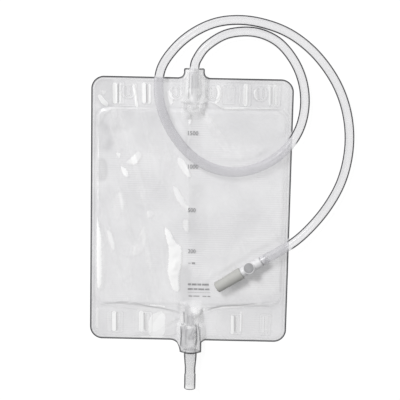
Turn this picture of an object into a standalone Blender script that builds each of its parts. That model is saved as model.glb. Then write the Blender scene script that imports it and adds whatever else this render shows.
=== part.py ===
# Urine drainage bag, lying empty on its back: two welded films, an inlet port with a drain tube
# and sampling connector, and a push-pull outlet valve. Metres, +Z up, +Y towards the inlet.
# The origin is the middle of the bag's back face.

import math

import bmesh
import bpy
from mathutils import Matrix, Vector

# Films and the pouch they make
FILM = 0.0003
WELD_GAP = 0.0003
CLEARANCE = 0.0003
BAG_WIDTH = 0.204
BAG_HEIGHT = 0.273
BAG_CORNER = 0.013
TOP_BAND = 0.0315
BOTTOM_BAND = 0.0365
SIDE_WELD = 0.005
CHAMBER_CORNER = 0.012
CHAMBER_RISE = 0.0015
CHAMBER_RAMP = 0.004

# Hook flaps and strap slits, cut through both films
FLAP_PATTERN_X = 0.002
FLAP_RADIUS = 0.0027
FLAP_HEIGHT = 0.010
FLAP_OFFSETS = (0.0188, 0.0666)
FLAP_DROP = 0.0153
SLIT_WIDTH = 0.0004
SLIT_LENGTH = 0.018
TOP_SLIT_X = (-0.0743, -0.0444, 0.0532, 0.0831)
TOP_SLIT_DROP = 0.0167
BOTTOM_SLIT_X = (-0.0737, -0.0434, 0.0500, 0.0803)
BOTTOM_SLIT_RISE = 0.0181

# Film round the ports
TAB_CORNER = 0.0016
TAB_MARGIN = 0.0005
PORT_SKIRT = 0.004
FRONT_FALL = 0.014
BACK_FALL = 0.007
SPIGOT_STEP = 0.003
SPIGOT_ROOT = 0.002
SPIGOT_WING_RATIO = 1.45
LENS_BENDS = (0.0, 0.3, 0.55, 0.71)

# Inlet port: a boat-shaped moulding with a socket for the tube
INLET_X = 0.0015
INLET_TAB = 0.0098
INLET_FLARE = 0.006
INLET_LENGTH = 0.0334
INLET_RADIUS = 0.0069
INLET_WING = 0.0099
INLET_SPIGOT_LENGTH = 0.006
INLET_SPIGOT_RADIUS = 0.0046
INLET_BORE_RADIUS = 0.0033
SOCKET_DEPTH = 0.020

# Non-return valve: a lay-flat film sleeve welded round the inlet's spigot
SLEEVE_HALF_WIDTH = 0.0083
SLEEVE_SLIT = 0.0002
SLEEVE_EDGE = 0.001
SLEEVE_TAIL = 0.028
SLEEVE_SIDES = 24

# Outlet port: the same boat form with the valve's bore
OUTLET_X = 0.003
OUTLET_TAB = 0.0107
OUTLET_FLARE = 0.0105
OUTLET_SQUARE = 0.0006
OUTLET_FLARE_CORNER = 0.00015
OUTLET_LENGTH = 0.0273
OUTLET_RADIUS = 0.0073
OUTLET_WING = 0.0107
OUTLET_SPIGOT_LENGTH = 0.013
OUTLET_SPIGOT_RADIUS = 0.0056
OUTLET_SPIGOT_BORE = 0.0042
VALVE_BORE_RADIUS = 0.00635
VALVE_SEAT_DEPTH = 0.0233
MOUTH_LIP = 0.002
MOUTH_LIP_REACH = 0.0006

# Push-pull valve: a fixed stem and a nozzle that slides out by VALVE_TRAVEL to open
VALVE_TRAVEL = 0.008
STEM_RING_HEIGHT = 0.002
STEM_RING_WALL = 0.00105
STEM_ROD_RADIUS = 0.0018
STEM_HEAD_RADIUS = 0.0033
STEM_HEAD_LENGTH = 0.004
STEM_HEAD_CHAMFER = 0.0006
STEM_RIB_WIDTH = 0.0012
STEM_RIB_HEIGHT = 0.0016
STEM_RIB_COUNT = 3
NOZZLE_HEAD_GAP = 0.0015
NOZZLE_SEAT_LENGTH = 0.0145
NOZZLE_SEAT_RADIUS = 0.0036
NOZZLE_BORE_RADIUS = 0.0043
STEM_HEAD_OVERLAP = 0.0022
COLLAR_RADIUS = 0.00665
COLLAR_LENGTH = 0.0045
COLLAR_TAPER = 0.0115
NOZZLE_RADIUS = 0.0056
GRIP_RADIUS = 0.00595
GRIP_LENGTH = 0.0155
NOZZLE_LENGTH = 0.0394
NOZZLE_LIP = 0.0009
SEAL_THICKNESS = 0.001
SEAL_INSET = 0.0025

# Drain tube
TUBE_RADIUS = 0.005
TUBE_POINT_STEP = 0.0215
TUBE_ROUTE = (
    (0.0042, 0.1560, 0.0072), (0.0139, 0.1690, 0.0062), (0.0340, 0.1809, 0.0054),
    (0.0600, 0.1832, 0.0051), (0.0829, 0.1748, 0.0051), (0.0999, 0.1568, 0.0051),
    (0.1103, 0.1342, 0.0051), (0.1130, 0.1094, 0.0053), (0.1075, 0.0852, 0.0063),
    (0.0936, 0.0648, 0.0078), (0.0735, 0.0502, 0.0078), (0.0498, 0.0428, 0.0078),
    (0.0251, 0.0449, 0.0078), (0.0029, 0.0561, 0.0078), (-0.0146, 0.0739, 0.0078),
    (-0.0272, 0.0954, 0.0078), (-0.0336, 0.1194, 0.0070), (-0.0320, 0.1442, 0.0060),
    (-0.0189, 0.1652, 0.0052), (0.0001, 0.1816, 0.0051), (0.0228, 0.1920, 0.0051),
    (0.0474, 0.1948, 0.0051), (0.0721, 0.1912, 0.0051), (0.0954, 0.1825, 0.0051),
    (0.1160, 0.1683, 0.0051), (0.1331, 0.1501, 0.0051), (0.1465, 0.1291, 0.0051),
    (0.1553, 0.1058, 0.0051), (0.1592, 0.0812, 0.0051), (0.1580, 0.0563, 0.0051),
    (0.1519, 0.0321, 0.0051), (0.1407, 0.0098, 0.0052), (0.1259, -0.0102, 0.0060),
    (0.1081, -0.0276, 0.0078), (0.0872, -0.0413, 0.0089),
)

# Catheter connector at the tube's end
CONNECTOR_PLACE = (0.0735, -0.0493)
CONNECTOR_HEADING = 212.5
CONNECTOR_ROLL = 16.0
CONNECTOR_RADIUS = 0.0049
CONNECTOR_BODY_LENGTH = 0.0232
CONNECTOR_COLLAR_RADIUS = 0.0053
CONNECTOR_COLLAR_LENGTH = 0.0045
CONNECTOR_BORE_RADIUS = 0.0021
TIP_LENGTH = 0.027
TIP_BASE_RADIUS = 0.0046
TIP_END_RADIUS = 0.0031
TIP_STEPS = 3
TIP_STEP_DROP = 0.0003
SAMPLE_PLACE = 0.0138
SAMPLE_BOSS_RADIUS = 0.00595
SAMPLE_BOSS_HEIGHT = 0.0068
SEPTUM_RADIUS = 0.00495
SEPTUM_THICKNESS = 0.0028
SEPTUM_INSET = 0.0002
CAP_MOUTH_RADIUS = 0.0063
CAP_END_RADIUS = 0.0056
CAP_LENGTH = 0.0302
CAP_WALL = 0.0012
CAP_END_WALL = 0.0018
CAP_END_ROUND = 0.0019

# How finely curves are cut into facets, and how far a cutter runs past a face
ROUND_SIDES = 32
FLAP_SIDES = 10
SEAL_SIDES = 10
FILLET_STEPS = 5
TUBE_RESOLUTION = 3
ROUTE_STEPS = 24
CUT_PAST = 0.002
PUNCH_REACH = 0.012

# Heights that follow from the sizes above
INLET_RISE = INLET_RADIUS + CLEARANCE - WELD_GAP / 2
OUTLET_RISE = OUTLET_RADIUS + CLEARANCE - WELD_GAP / 2
INLET_AXIS_Z = FILM + WELD_GAP / 2 + INLET_RISE
OUTLET_AXIS_Z = FILM + WELD_GAP / 2 + OUTLET_RISE
INLET_MOUTH_Y = BAG_HEIGHT / 2 + INLET_TAB
OUTLET_MOUTH_Y = -BAG_HEIGHT / 2 - OUTLET_TAB
POUCH_TOP = 2 * FILM + WELD_GAP + CHAMBER_RISE
CONNECTOR_AXIS_Z = POUCH_TOP + CLEARANCE + CAP_MOUTH_RADIUS


def clear_scene():
    for obj in list(bpy.data.objects):
        bpy.data.objects.remove(obj, do_unlink=True)


def make_collection(name):
    collection = bpy.data.collections.new(name)
    bpy.context.scene.collection.children.link(collection)
    return collection


def make_material(name, colour, roughness, alpha=1.0):
    material = bpy.data.materials.new(name)
    material.use_nodes = True
    shader = material.node_tree.nodes["Principled BSDF"]
    shader.inputs["Base Color"].default_value = (*colour, 1.0)
    shader.inputs["Roughness"].default_value = roughness
    shader.inputs["Metallic"].default_value = 0.0
    shader.inputs["Alpha"].default_value = alpha
    return material


def add_object(name, mesh, parent=None, material=None):
    """A part when it has a material, and a hidden helper for a Boolean when it has none."""
    obj = bpy.data.objects.new(name, mesh)
    (cutters if material is None else parts).objects.link(obj)
    obj.parent = parent
    if material is None:
        obj.hide_render = True
        obj.display_type = "WIRE"
    else:
        mesh.materials.append(material)
    return obj


def add_frame(name, matrix):
    frame = bpy.data.objects.new(name, None)
    frame.empty_display_size = 0.01
    frame.matrix_world = matrix
    parts.objects.link(frame)
    return frame


def turned(name, profile, parent, material=None, closed=False):
    """A profile of (radius, z) points turned about Z. Its outer side runs from top to bottom."""
    mesh = bpy.data.meshes.new(name)
    points = [(radius, 0.0, z) for radius, z in profile]
    edges = [(i, i + 1) for i in range(len(points) - 1)]
    if closed:
        edges.append((len(points) - 1, 0))
    mesh.from_pydata(points, edges, [])
    obj = add_object(name, mesh, parent, material)
    screw = obj.modifiers.new("Turn", "SCREW")
    screw.steps = screw.render_steps = ROUND_SIDES
    screw.use_merge_vertices = True
    screw.merge_threshold = 1e-6
    screw.use_smooth_shade = True
    return obj


def prism(name, outline, low, high, parent=None, material=None):
    """A closed outline in XY, extruded from low to high along Z."""
    curve = bpy.data.curves.new(name, "CURVE")
    curve.dimensions = "2D"
    curve.fill_mode = "BOTH"
    curve.extrude = (high - low) / 2
    spline = curve.splines.new("POLY")
    spline.points.add(len(outline) - 1)
    for point, (x, y) in zip(spline.points, outline):
        point.co = (x, y, 0.0, 1.0)
    spline.use_cyclic_u = True
    source = bpy.data.objects.new(name + "_outline", curve)
    bpy.context.scene.collection.objects.link(source)
    bpy.context.view_layer.update()
    graph = bpy.context.evaluated_depsgraph_get()
    mesh = bpy.data.meshes.new_from_object(source.evaluated_get(graph))
    bpy.data.objects.remove(source, do_unlink=True)
    mesh.transform(Matrix.Translation((0, 0, (low + high) / 2)))
    weld(mesh)
    mesh.name = name
    return add_object(name, mesh, parent, material)


def weld(mesh):
    bm = bmesh.new()
    bm.from_mesh(mesh)
    bmesh.ops.remove_doubles(bm, verts=bm.verts, dist=1e-6)
    bmesh.ops.recalc_face_normals(bm, faces=bm.faces)
    bm.to_mesh(mesh)
    bm.free()


def boolean(obj, operation, other):
    modifier = obj.modifiers.new(other.name, "BOOLEAN")
    modifier.operation = operation
    modifier.solver = "EXACT"
    modifier.object = other


def smooth(t):
    t = min(max(t, 0.0), 1.0)
    return t * t * (3.0 - 2.0 * t)


def filleted(corners):
    """An outline of (x, y, radius) corners, each rounded by its radius."""
    outline = []
    for i, (x, y, radius) in enumerate(corners):
        here = Vector((x, y))
        before = (Vector(corners[i - 1][:2]) - here).normalized()
        after = (Vector(corners[(i + 1) % len(corners)][:2]) - here).normalized()
        half = before.angle(after) / 2
        centre = here + (before + after).normalized() * radius / math.sin(half)
        start = here + before * radius / math.tan(half) - centre
        sweep = start.angle_signed(here + after * radius / math.tan(half) - centre)
        for step in range(FILLET_STEPS + 1):
            turn = Matrix.Rotation(-sweep * step / FILLET_STEPS, 2)
            outline.append(tuple(centre + turn @ start))
    return outline


def lens_height(x, radius, wing):
    """Upper half of a boat section: a circle with tangents down to a point at each wing."""
    x = abs(x)
    if x >= wing or radius <= 0:
        return 0.0
    if x <= radius * radius / wing:
        return math.sqrt(radius * radius - x * x)
    return (wing - x) * radius / math.sqrt(wing * wing - radius * radius)


def lens_outline(radius, wing):
    """The whole boat section as an outline, wings along X."""
    tangent = math.acos(radius / wing)
    steps = ROUND_SIDES // 4
    arc = [tangent + (math.pi - 2 * tangent) * i / steps for i in range(steps + 1)]
    top = [(radius * math.cos(a), radius * math.sin(a)) for a in arc]
    return [(wing, 0.0), *top, (-wing, 0.0), *[(-x, -y) for x, y in top]]


class PortForm:
    """Where a port holds the two films apart, from its tab to where they lie flat again."""

    def __init__(self, x, side, mouth, length, rise, wing, spigot_length, wrapped_radius):
        self.x = x
        self.side = side
        self.rise = rise
        self.wing = wing + CLEARANCE
        self.spigot_radius = wrapped_radius + CLEARANCE
        self.spigot_wing = self.spigot_radius * SPIGOT_WING_RATIO
        self.mouth = mouth
        self.body_end = mouth - length
        self.spigot_end = self.body_end - spigot_length

    def cut_x(self):
        offsets = [self.rise * bend for bend in LENS_BENDS] + [self.wing]
        offsets += [self.wing + PORT_SKIRT / 2, self.wing + PORT_SKIRT]
        return sorted({self.x + sign * offset for offset in offsets for sign in (-1, 1)})

    def cut_y(self):
        falls = (1.0, 0.75, 0.5, 0.25, 0.0)
        reach = [self.spigot_end - FRONT_FALL * fall for fall in falls]
        reach += [self.body_end - SPIGOT_STEP, self.body_end]
        return sorted(self.side * value for value in reach)

    def lift(self, x, y, fall):
        """(height of the weld plane, half the opening between the films) at a point. Inwards of
        the spigot both fall to nothing over this length."""
        reach = self.side * y
        offset = abs(x - self.x)
        share = 1.0 - smooth((self.spigot_end - reach) / fall)
        body = smooth((reach - self.body_end + SPIGOT_STEP) / SPIGOT_STEP)
        radius = self.spigot_radius + (self.rise - self.spigot_radius) * body
        wing = self.spigot_wing + (self.wing - self.spigot_wing) * body
        plane = self.rise * (1.0 - smooth((offset - self.wing) / PORT_SKIRT))
        return plane * share, lens_height(offset, radius, wing) * share


def bag_outline():
    half_width = BAG_WIDTH / 2
    half_height = BAG_HEIGHT / 2
    inlet_half = INLET_WING + TAB_MARGIN
    outlet_half = OUTLET_WING + TAB_MARGIN
    outlet_left = OUTLET_X - outlet_half
    outlet_right = OUTLET_X + outlet_half
    inlet_left = INLET_X - inlet_half
    inlet_right = INLET_X + inlet_half
    return filleted((
        (-half_width, -half_height, BAG_CORNER),
        (outlet_left, -half_height, OUTLET_FLARE),
        (outlet_left, OUTLET_MOUTH_Y, OUTLET_FLARE_CORNER),
        (outlet_right, OUTLET_MOUTH_Y, OUTLET_SQUARE),
        (outlet_right, -half_height, OUTLET_SQUARE),
        (half_width, -half_height, BAG_CORNER),
        (half_width, half_height, BAG_CORNER),
        (inlet_right, half_height, INLET_FLARE),
        (inlet_right, INLET_MOUTH_Y, TAB_CORNER),
        (inlet_left, INLET_MOUTH_Y, TAB_CORNER),
        (inlet_left, half_height, INLET_FLARE),
        (-half_width, half_height, BAG_CORNER),
    ))


def chamber_rise(x, y):
    """The front film's bulge over the chamber, from 0 at its welds to CHAMBER_RISE."""
    half_x = BAG_WIDTH / 2 - SIDE_WELD - CHAMBER_CORNER
    top = BAG_HEIGHT / 2 - TOP_BAND
    bottom = -BAG_HEIGHT / 2 + BOTTOM_BAND
    half_y = (top - bottom) / 2 - CHAMBER_CORNER
    out = Vector((abs(x) - half_x, abs(y - (top + bottom) / 2) - half_y))
    inside = min(max(out.x, out.y), 0.0)
    distance = Vector((max(out.x, 0.0), max(out.y, 0.0))).length + inside - CHAMBER_CORNER
    return CHAMBER_RISE * smooth(-distance / CHAMBER_RAMP)


def cut_sheet(bm, axis, places, box=None):
    """Splits the sheet's faces along lines at these places, only inside the box if one is given."""
    normal = Vector((1, 0, 0)) if axis == 0 else Vector((0, 1, 0))
    for place in places:
        faces = bm.faces[:]
        if box:
            (low_x, high_x), (low_y, high_y) = box
            faces = [
                face for face in faces
                if low_x < face.calc_center_bounds().x < high_x
                and low_y < face.calc_center_bounds().y < high_y
            ]
        edges = {edge for face in faces for edge in face.edges}
        verts = {vert for face in faces for vert in face.verts}
        bmesh.ops.bisect_plane(
            bm, geom=[*verts, *edges, *faces], dist=1e-6, plane_co=normal * place, plane_no=normal
        )


def film_mesh(name, low, height):
    """A film with the bag's outline, lifted by height(x, y) and FILM thick."""
    bm = bmesh.new()
    corners = [bm.verts.new((x, y, 0.0)) for x, y in bag_outline()]
    bm.faces.new(corners)
    half_width = BAG_WIDTH / 2
    edge_x = half_width - SIDE_WELD
    edge_top = BAG_HEIGHT / 2 - TOP_BAND
    edge_bottom = -BAG_HEIGHT / 2 + BOTTOM_BAND
    lines_x = [edge_x, edge_x - CHAMBER_RAMP, edge_x - CHAMBER_CORNER]
    cut_sheet(bm, 0, sorted(sign * line for line in lines_x for sign in (-1, 1)))
    cut_sheet(bm, 1, [
        edge_bottom, edge_bottom + CHAMBER_RAMP, edge_bottom + CHAMBER_CORNER,
        edge_top - CHAMBER_CORNER, edge_top - CHAMBER_RAMP, edge_top,
    ])
    for port in (outlet_form, inlet_form):
        cuts_x = port.cut_x()
        cuts_y = port.cut_y()
        reach_x = (cuts_x[0], cuts_x[-1])
        inner = port.side * (port.spigot_end - FRONT_FALL)
        reach_y = sorted((inner, port.side * (port.mouth + CUT_PAST)))
        cut_sheet(bm, 1, [inner])
        cut_sheet(bm, 0, reach_x, ((-half_width, half_width), reach_y))
        cut_sheet(bm, 1, cuts_y, (reach_x, reach_y))
        cut_sheet(bm, 0, cuts_x, (reach_x, reach_y))
    bmesh.ops.triangulate(bm, faces=bm.faces[:])
    bmesh.ops.recalc_face_normals(bm, faces=bm.faces)
    if bm.faces[0].normal.z > 0:
        bmesh.ops.reverse_faces(bm, faces=bm.faces)
    sheet = bm.verts[:]
    grown = bmesh.ops.extrude_face_region(bm, geom=bm.faces[:], use_keep_orig=True)
    upper = {item for item in grown["geom"] if isinstance(item, bmesh.types.BMVert)}
    for vert in upper:
        vert.co.z = FILM
    for vert in [*sheet, *upper]:
        vert.co.z += low + height(vert.co.x, vert.co.y)
    bmesh.ops.recalc_face_normals(bm, faces=bm.faces)
    mesh = bpy.data.meshes.new(name)
    bm.to_mesh(mesh)
    bm.free()
    return mesh


def back_height(x, y):
    lifts = [port.lift(x, y, BACK_FALL) for port in (inlet_form, outlet_form)]
    return sum(plane - opening for plane, opening in lifts)


def front_height(x, y):
    lifts = [port.lift(x, y, FRONT_FALL) for port in (inlet_form, outlet_form)]
    return sum(plane + opening for plane, opening in lifts) + chamber_rise(x, y)


def slit_outline(x, y):
    """A straight cut with round ends, so that it doesn't tear further."""
    radius = SLIT_WIDTH / 2
    reach = SLIT_LENGTH / 2 - radius
    outline = []
    for side in (1, -1):
        for step in range(FILLET_STEPS):
            turn = math.pi * (step / (FILLET_STEPS - 1) + (0 if side > 0 else 1))
            outline.append((x + radius * math.cos(turn), y + side * reach + radius * math.sin(turn)))
    return outline


def flap_outline(x, y):
    """A U-shaped cut, open towards the bag's top. A hook pushes the flap inside it aside."""
    high = y + FLAP_HEIGHT / 2
    base = y - FLAP_HEIGHT / 2 + FLAP_RADIUS
    outline = []
    for side, radius in ((1, FLAP_RADIUS + SLIT_WIDTH / 2), (-1, FLAP_RADIUS - SLIT_WIDTH / 2)):
        outline.append((x - side * radius, high))
        for step in range(FLAP_SIDES + 1):
            turn = math.pi * (1 + step / FLAP_SIDES)
            outline.append((x + side * radius * math.cos(turn), base + radius * math.sin(turn)))
        outline.append((x + side * radius, high))
    return outline


def punch_cutter():
    """One cutter that holds every hook flap's cut and strap slit."""
    top = BAG_HEIGHT / 2
    outlines = [
        flap_outline(FLAP_PATTERN_X + sign * offset, top - FLAP_DROP)
        for sign in (-1, 1) for offset in FLAP_OFFSETS
    ]
    outlines += [slit_outline(x, top - TOP_SLIT_DROP) for x in TOP_SLIT_X]
    outlines += [slit_outline(x, -top + BOTTOM_SLIT_RISE) for x in BOTTOM_SLIT_X]
    bm = bmesh.new()
    for index, outline in enumerate(outlines):
        punch = prism(f"punch_{index}", outline, -PUNCH_REACH, PUNCH_REACH)
        bm.from_mesh(punch.data)
        bpy.data.objects.remove(punch, do_unlink=True)
    mesh = bpy.data.meshes.new("film_punches")
    bm.to_mesh(mesh)
    bm.free()
    return add_object("film_punches", mesh)


def build_films():
    punches = punch_cutter()
    for name, low, height in (
        ("back_film", 0.0, back_height),
        ("front_film", FILM + WELD_GAP, front_height),
    ):
        film = add_object(name, film_mesh(name, low, height), None, film_material)
        boolean(film, "DIFFERENCE", punches)


def build_inlet_port():
    port = prism(
        "inlet_port", lens_outline(INLET_RADIUS, INLET_WING), -INLET_LENGTH, 0.0,
        inlet_frame, port_material,
    )
    root = -INLET_LENGTH + SPIGOT_ROOT
    spigot_end = -INLET_LENGTH - INLET_SPIGOT_LENGTH
    spigot = turned("inlet_spigot", [
        (0.0, root),
        (INLET_SPIGOT_RADIUS, root),
        (INLET_SPIGOT_RADIUS, spigot_end),
        (0.0, spigot_end),
    ], inlet_frame)
    socket_radius = TUBE_RADIUS + CLEARANCE
    socket_floor = -SOCKET_DEPTH - CLEARANCE
    bore = turned("inlet_bore", [
        (0.0, CUT_PAST),
        (socket_radius, CUT_PAST),
        (socket_radius, socket_floor),
        (INLET_BORE_RADIUS, socket_floor),
        (INLET_BORE_RADIUS, spigot_end - CUT_PAST),
        (0.0, spigot_end - CUT_PAST),
    ], inlet_frame)
    boolean(port, "UNION", spigot)
    boolean(port, "DIFFERENCE", bore)


def sleeve_ring(share, shrink):
    """A section of the valve sleeve: round where share is 1, lay-flat where it is 0."""
    round_radius = INLET_SPIGOT_RADIUS + CLEARANCE + FILM - shrink
    flat_height = FILM + SLEEVE_SLIT / 2 - shrink
    flat_width = SLEEVE_HALF_WIDTH - (SLEEVE_EDGE if shrink else 0.0)
    half_width = flat_width + (round_radius - flat_width) * share
    half_height = flat_height + (round_radius - flat_height) * share
    power = 2.0 / (3.0 - share)
    ring = []
    for step in range(SLEEVE_SIDES):
        turn = 2 * math.pi * (step + 0.5) / SLEEVE_SIDES
        across, up = math.cos(turn), math.sin(turn)
        ring.append((
            half_width * math.copysign(abs(across) ** power, across),
            half_height * math.copysign(abs(up) ** power, up),
        ))
    return ring


def build_valve_sleeve():
    """A loft from the spigot's circle to a lay-flat sleeve, as an outer and an inner skin."""
    stations = [(inlet_form.body_end - CLEARANCE, 1.0), (inlet_form.spigot_end, 1.0)]
    for fall in (0.2, 0.4, 0.6, 0.8, 1.0):
        stations.append((inlet_form.spigot_end - FRONT_FALL * fall, 1.0 - smooth(fall)))
    stations.append((inlet_form.spigot_end - FRONT_FALL - SLEEVE_TAIL, 0.0))
    flat_z = FILM + CLEARANCE + FILM + SLEEVE_SLIT / 2
    bm = bmesh.new()
    skins = []
    for shrink in (0.0, FILM):
        rings = []
        for y, share in stations:
            middle = flat_z + (INLET_AXIS_Z - flat_z) * share
            rings.append([
                bm.verts.new((INLET_X + across, y, middle + up))
                for across, up in sleeve_ring(share, shrink)
            ])
        skins.append(rings)
    outer, inner = skins
    pairs = [(a, b) for rings in skins for a, b in zip(rings, rings[1:])]
    pairs += [(outer[0], inner[0]), (outer[-1], inner[-1])]
    for first, second in pairs:
        for i in range(SLEEVE_SIDES):
            j = (i + 1) % SLEEVE_SIDES
            bm.faces.new((first[i], first[j], second[j], second[i]))
    bmesh.ops.recalc_face_normals(bm, faces=bm.faces)
    mesh = bpy.data.meshes.new("non_return_valve")
    bm.to_mesh(mesh)
    bm.free()
    add_object("non_return_valve", mesh, None, film_material)


def build_outlet_port():
    port = prism(
        "outlet_port", lens_outline(OUTLET_RADIUS, OUTLET_WING), -OUTLET_LENGTH, 0.0,
        outlet_frame, port_material,
    )
    root = -OUTLET_LENGTH + SPIGOT_ROOT
    spigot_end = -OUTLET_LENGTH - OUTLET_SPIGOT_LENGTH
    spigot = turned("outlet_spigot", [
        (0.0, root),
        (OUTLET_SPIGOT_RADIUS, root),
        (OUTLET_SPIGOT_RADIUS, spigot_end),
        (0.0, spigot_end),
    ], outlet_frame)
    lip_radius = VALVE_BORE_RADIUS - MOUTH_LIP_REACH
    bore = turned("valve_bore", [
        (0.0, CUT_PAST),
        (lip_radius, CUT_PAST),
        (lip_radius, -MOUTH_LIP),
        (VALVE_BORE_RADIUS, -MOUTH_LIP),
        (VALVE_BORE_RADIUS, -VALVE_SEAT_DEPTH),
        (OUTLET_SPIGOT_BORE, -VALVE_SEAT_DEPTH),
        (OUTLET_SPIGOT_BORE, spigot_end - CUT_PAST),
        (0.0, spigot_end - CUT_PAST),
    ], outlet_frame)
    boolean(port, "UNION", spigot)
    boolean(port, "DIFFERENCE", bore)


def build_valve_stem():
    """The fixed core: a ribbed ring on the port's seat, with a rod and a plug that fills the nozzle."""
    top = -VALVE_SEAT_DEPTH + CLEARANCE
    ring_end = top + STEM_RING_HEIGHT
    ring_outer = VALVE_BORE_RADIUS - CLEARANCE
    ring_inner = ring_outer - STEM_RING_WALL
    head_start = ring_end + NOZZLE_HEAD_GAP + STEM_HEAD_OVERLAP
    head_end = head_start + STEM_HEAD_LENGTH
    stem = turned("valve_stem", [
        (ring_outer, ring_end),
        (ring_outer, top),
        (ring_inner, top),
        (ring_inner, ring_end),
    ], outlet_frame, stem_material, closed=True)
    rod = turned("stem_rod", [
        (0.0, head_end),
        (STEM_HEAD_RADIUS - STEM_HEAD_CHAMFER, head_end),
        (STEM_HEAD_RADIUS, head_end - STEM_HEAD_CHAMFER),
        (STEM_HEAD_RADIUS, head_start + STEM_HEAD_CHAMFER),
        (STEM_ROD_RADIUS, head_start),
        (STEM_ROD_RADIUS, top),
        (0.0, top),
    ], outlet_frame)
    boolean(stem, "UNION", rod)
    bm = bmesh.new()
    rib_reach = (ring_inner + ring_outer) / 2
    for index in range(STEM_RIB_COUNT):
        turn = Matrix.Rotation(2 * math.pi * index / STEM_RIB_COUNT + math.pi / 2, 4, "Z")
        place = Matrix.Translation((rib_reach / 2, 0, (top + ring_end) / 2))
        size = Matrix.Diagonal((rib_reach, STEM_RIB_WIDTH, STEM_RIB_HEIGHT, 1))
        bmesh.ops.create_cube(bm, size=1.0, matrix=turn @ place @ size)
    mesh = bpy.data.meshes.new("stem_ribs")
    bm.to_mesh(mesh)
    bm.free()
    ribs = add_object("stem_ribs", mesh, outlet_frame)
    boolean(stem, "UNION", ribs)


def build_outlet_nozzle():
    """The sliding nozzle: a sealed head inside the port, a collar at the mouth, a spout below."""
    head_start = -VALVE_SEAT_DEPTH + CLEARANCE + STEM_RING_HEIGHT + NOZZLE_HEAD_GAP
    head_end = -MOUTH_LIP - CLEARANCE - VALVE_TRAVEL
    head_radius = VALVE_BORE_RADIUS - CLEARANCE
    neck_radius = VALVE_BORE_RADIUS - MOUTH_LIP_REACH - CLEARANCE
    groove_radius = head_radius - SEAL_THICKNESS - CLEARANCE
    groove_start = head_start + SEAL_INSET
    groove_end = groove_start + SEAL_THICKNESS + 2 * CLEARANCE
    collar_end = CLEARANCE + COLLAR_LENGTH
    taper_end = collar_end + COLLAR_TAPER
    grip_start = NOZZLE_LENGTH - GRIP_LENGTH
    lip_bend = NOZZLE_LIP * (1 - math.sqrt(0.5))
    # The profile runs from the spout's end back into the port outside, and out again inside.
    turned("outlet_nozzle", [
        (NOZZLE_BORE_RADIUS, NOZZLE_LENGTH),
        (GRIP_RADIUS - NOZZLE_LIP, NOZZLE_LENGTH),
        (GRIP_RADIUS - lip_bend, NOZZLE_LENGTH - lip_bend),
        (GRIP_RADIUS, NOZZLE_LENGTH - NOZZLE_LIP),
        (GRIP_RADIUS, grip_start),
        (NOZZLE_RADIUS, grip_start - NOZZLE_LIP),
        (NOZZLE_RADIUS, taper_end),
        (COLLAR_RADIUS, collar_end),
        (COLLAR_RADIUS, CLEARANCE),
        (neck_radius, CLEARANCE),
        (neck_radius, head_end),
        (head_radius, head_end),
        (head_radius, groove_end),
        (groove_radius, groove_end),
        (groove_radius, groove_start),
        (head_radius, groove_start),
        (head_radius, head_start),
        (NOZZLE_SEAT_RADIUS, head_start),
        (NOZZLE_SEAT_RADIUS, head_start + NOZZLE_SEAT_LENGTH),
        (NOZZLE_BORE_RADIUS, head_start + NOZZLE_SEAT_LENGTH + NOZZLE_LIP),
    ], outlet_frame, nozzle_material, closed=True)
    ring_radius = head_radius - SEAL_THICKNESS / 2
    ring_z = (groove_start + groove_end) / 2
    section = []
    for step in range(SEAL_SIDES):
        turn = -2 * math.pi * step / SEAL_SIDES
        section.append((
            ring_radius + SEAL_THICKNESS / 2 * math.cos(turn),
            ring_z + SEAL_THICKNESS / 2 * math.sin(turn),
        ))
    turned("nozzle_seal", section, outlet_frame, seal_material, closed=True)


def smooth_route(points, spacing):
    """Evenly spaced points on a Catmull-Rom curve through the given ones."""
    points = [Vector(point) for point in points]
    fine = []
    for i in range(len(points) - 1):
        before = points[max(i - 1, 0)]
        start, end = points[i], points[i + 1]
        after = points[min(i + 2, len(points) - 1)]
        for step in range(ROUTE_STEPS):
            t = step / ROUTE_STEPS
            fine.append(
                (2 * start + (end - before) * t
                 + (2 * before - 5 * start + 4 * end - after) * t ** 2
                 + (3 * start - before - 3 * end + after) * t ** 3) / 2
            )
    fine.append(points[-1])
    lengths = [0.0]
    for a, b in zip(fine, fine[1:]):
        lengths.append(lengths[-1] + (b - a).length)
    count = round(lengths[-1] / spacing)
    route = []
    index = 0
    for step in range(count + 1):
        target = lengths[-1] * step / count
        while index < len(fine) - 2 and lengths[index + 1] < target:
            index += 1
        share = (target - lengths[index]) / (lengths[index + 1] - lengths[index])
        route.append(fine[index].lerp(fine[index + 1], share))
    return route


def build_tube():
    socket_end = inlet_frame.matrix_world @ Vector((0, 0, -SOCKET_DEPTH))
    mouth = inlet_frame.matrix_world @ Vector((0, 0, 0))
    joint = connector_frame.matrix_world
    route = smooth_route(
        [socket_end, mouth, *TUBE_ROUTE, joint @ Vector((0, 0, -2 * TUBE_RADIUS)),
         joint @ Vector((0, 0, -CLEARANCE))],
        TUBE_POINT_STEP,
    )
    curve = bpy.data.curves.new("drain_tube", "CURVE")
    curve.dimensions = "3D"
    curve.bevel_depth = TUBE_RADIUS
    curve.bevel_resolution = TUBE_RESOLUTION
    curve.use_fill_caps = True
    spline = curve.splines.new("POLY")
    spline.points.add(len(route) - 1)
    for point, place in zip(spline.points, route):
        point.co = (*place, 1.0)
    add_object("drain_tube", curve, None, tube_material)


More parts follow.
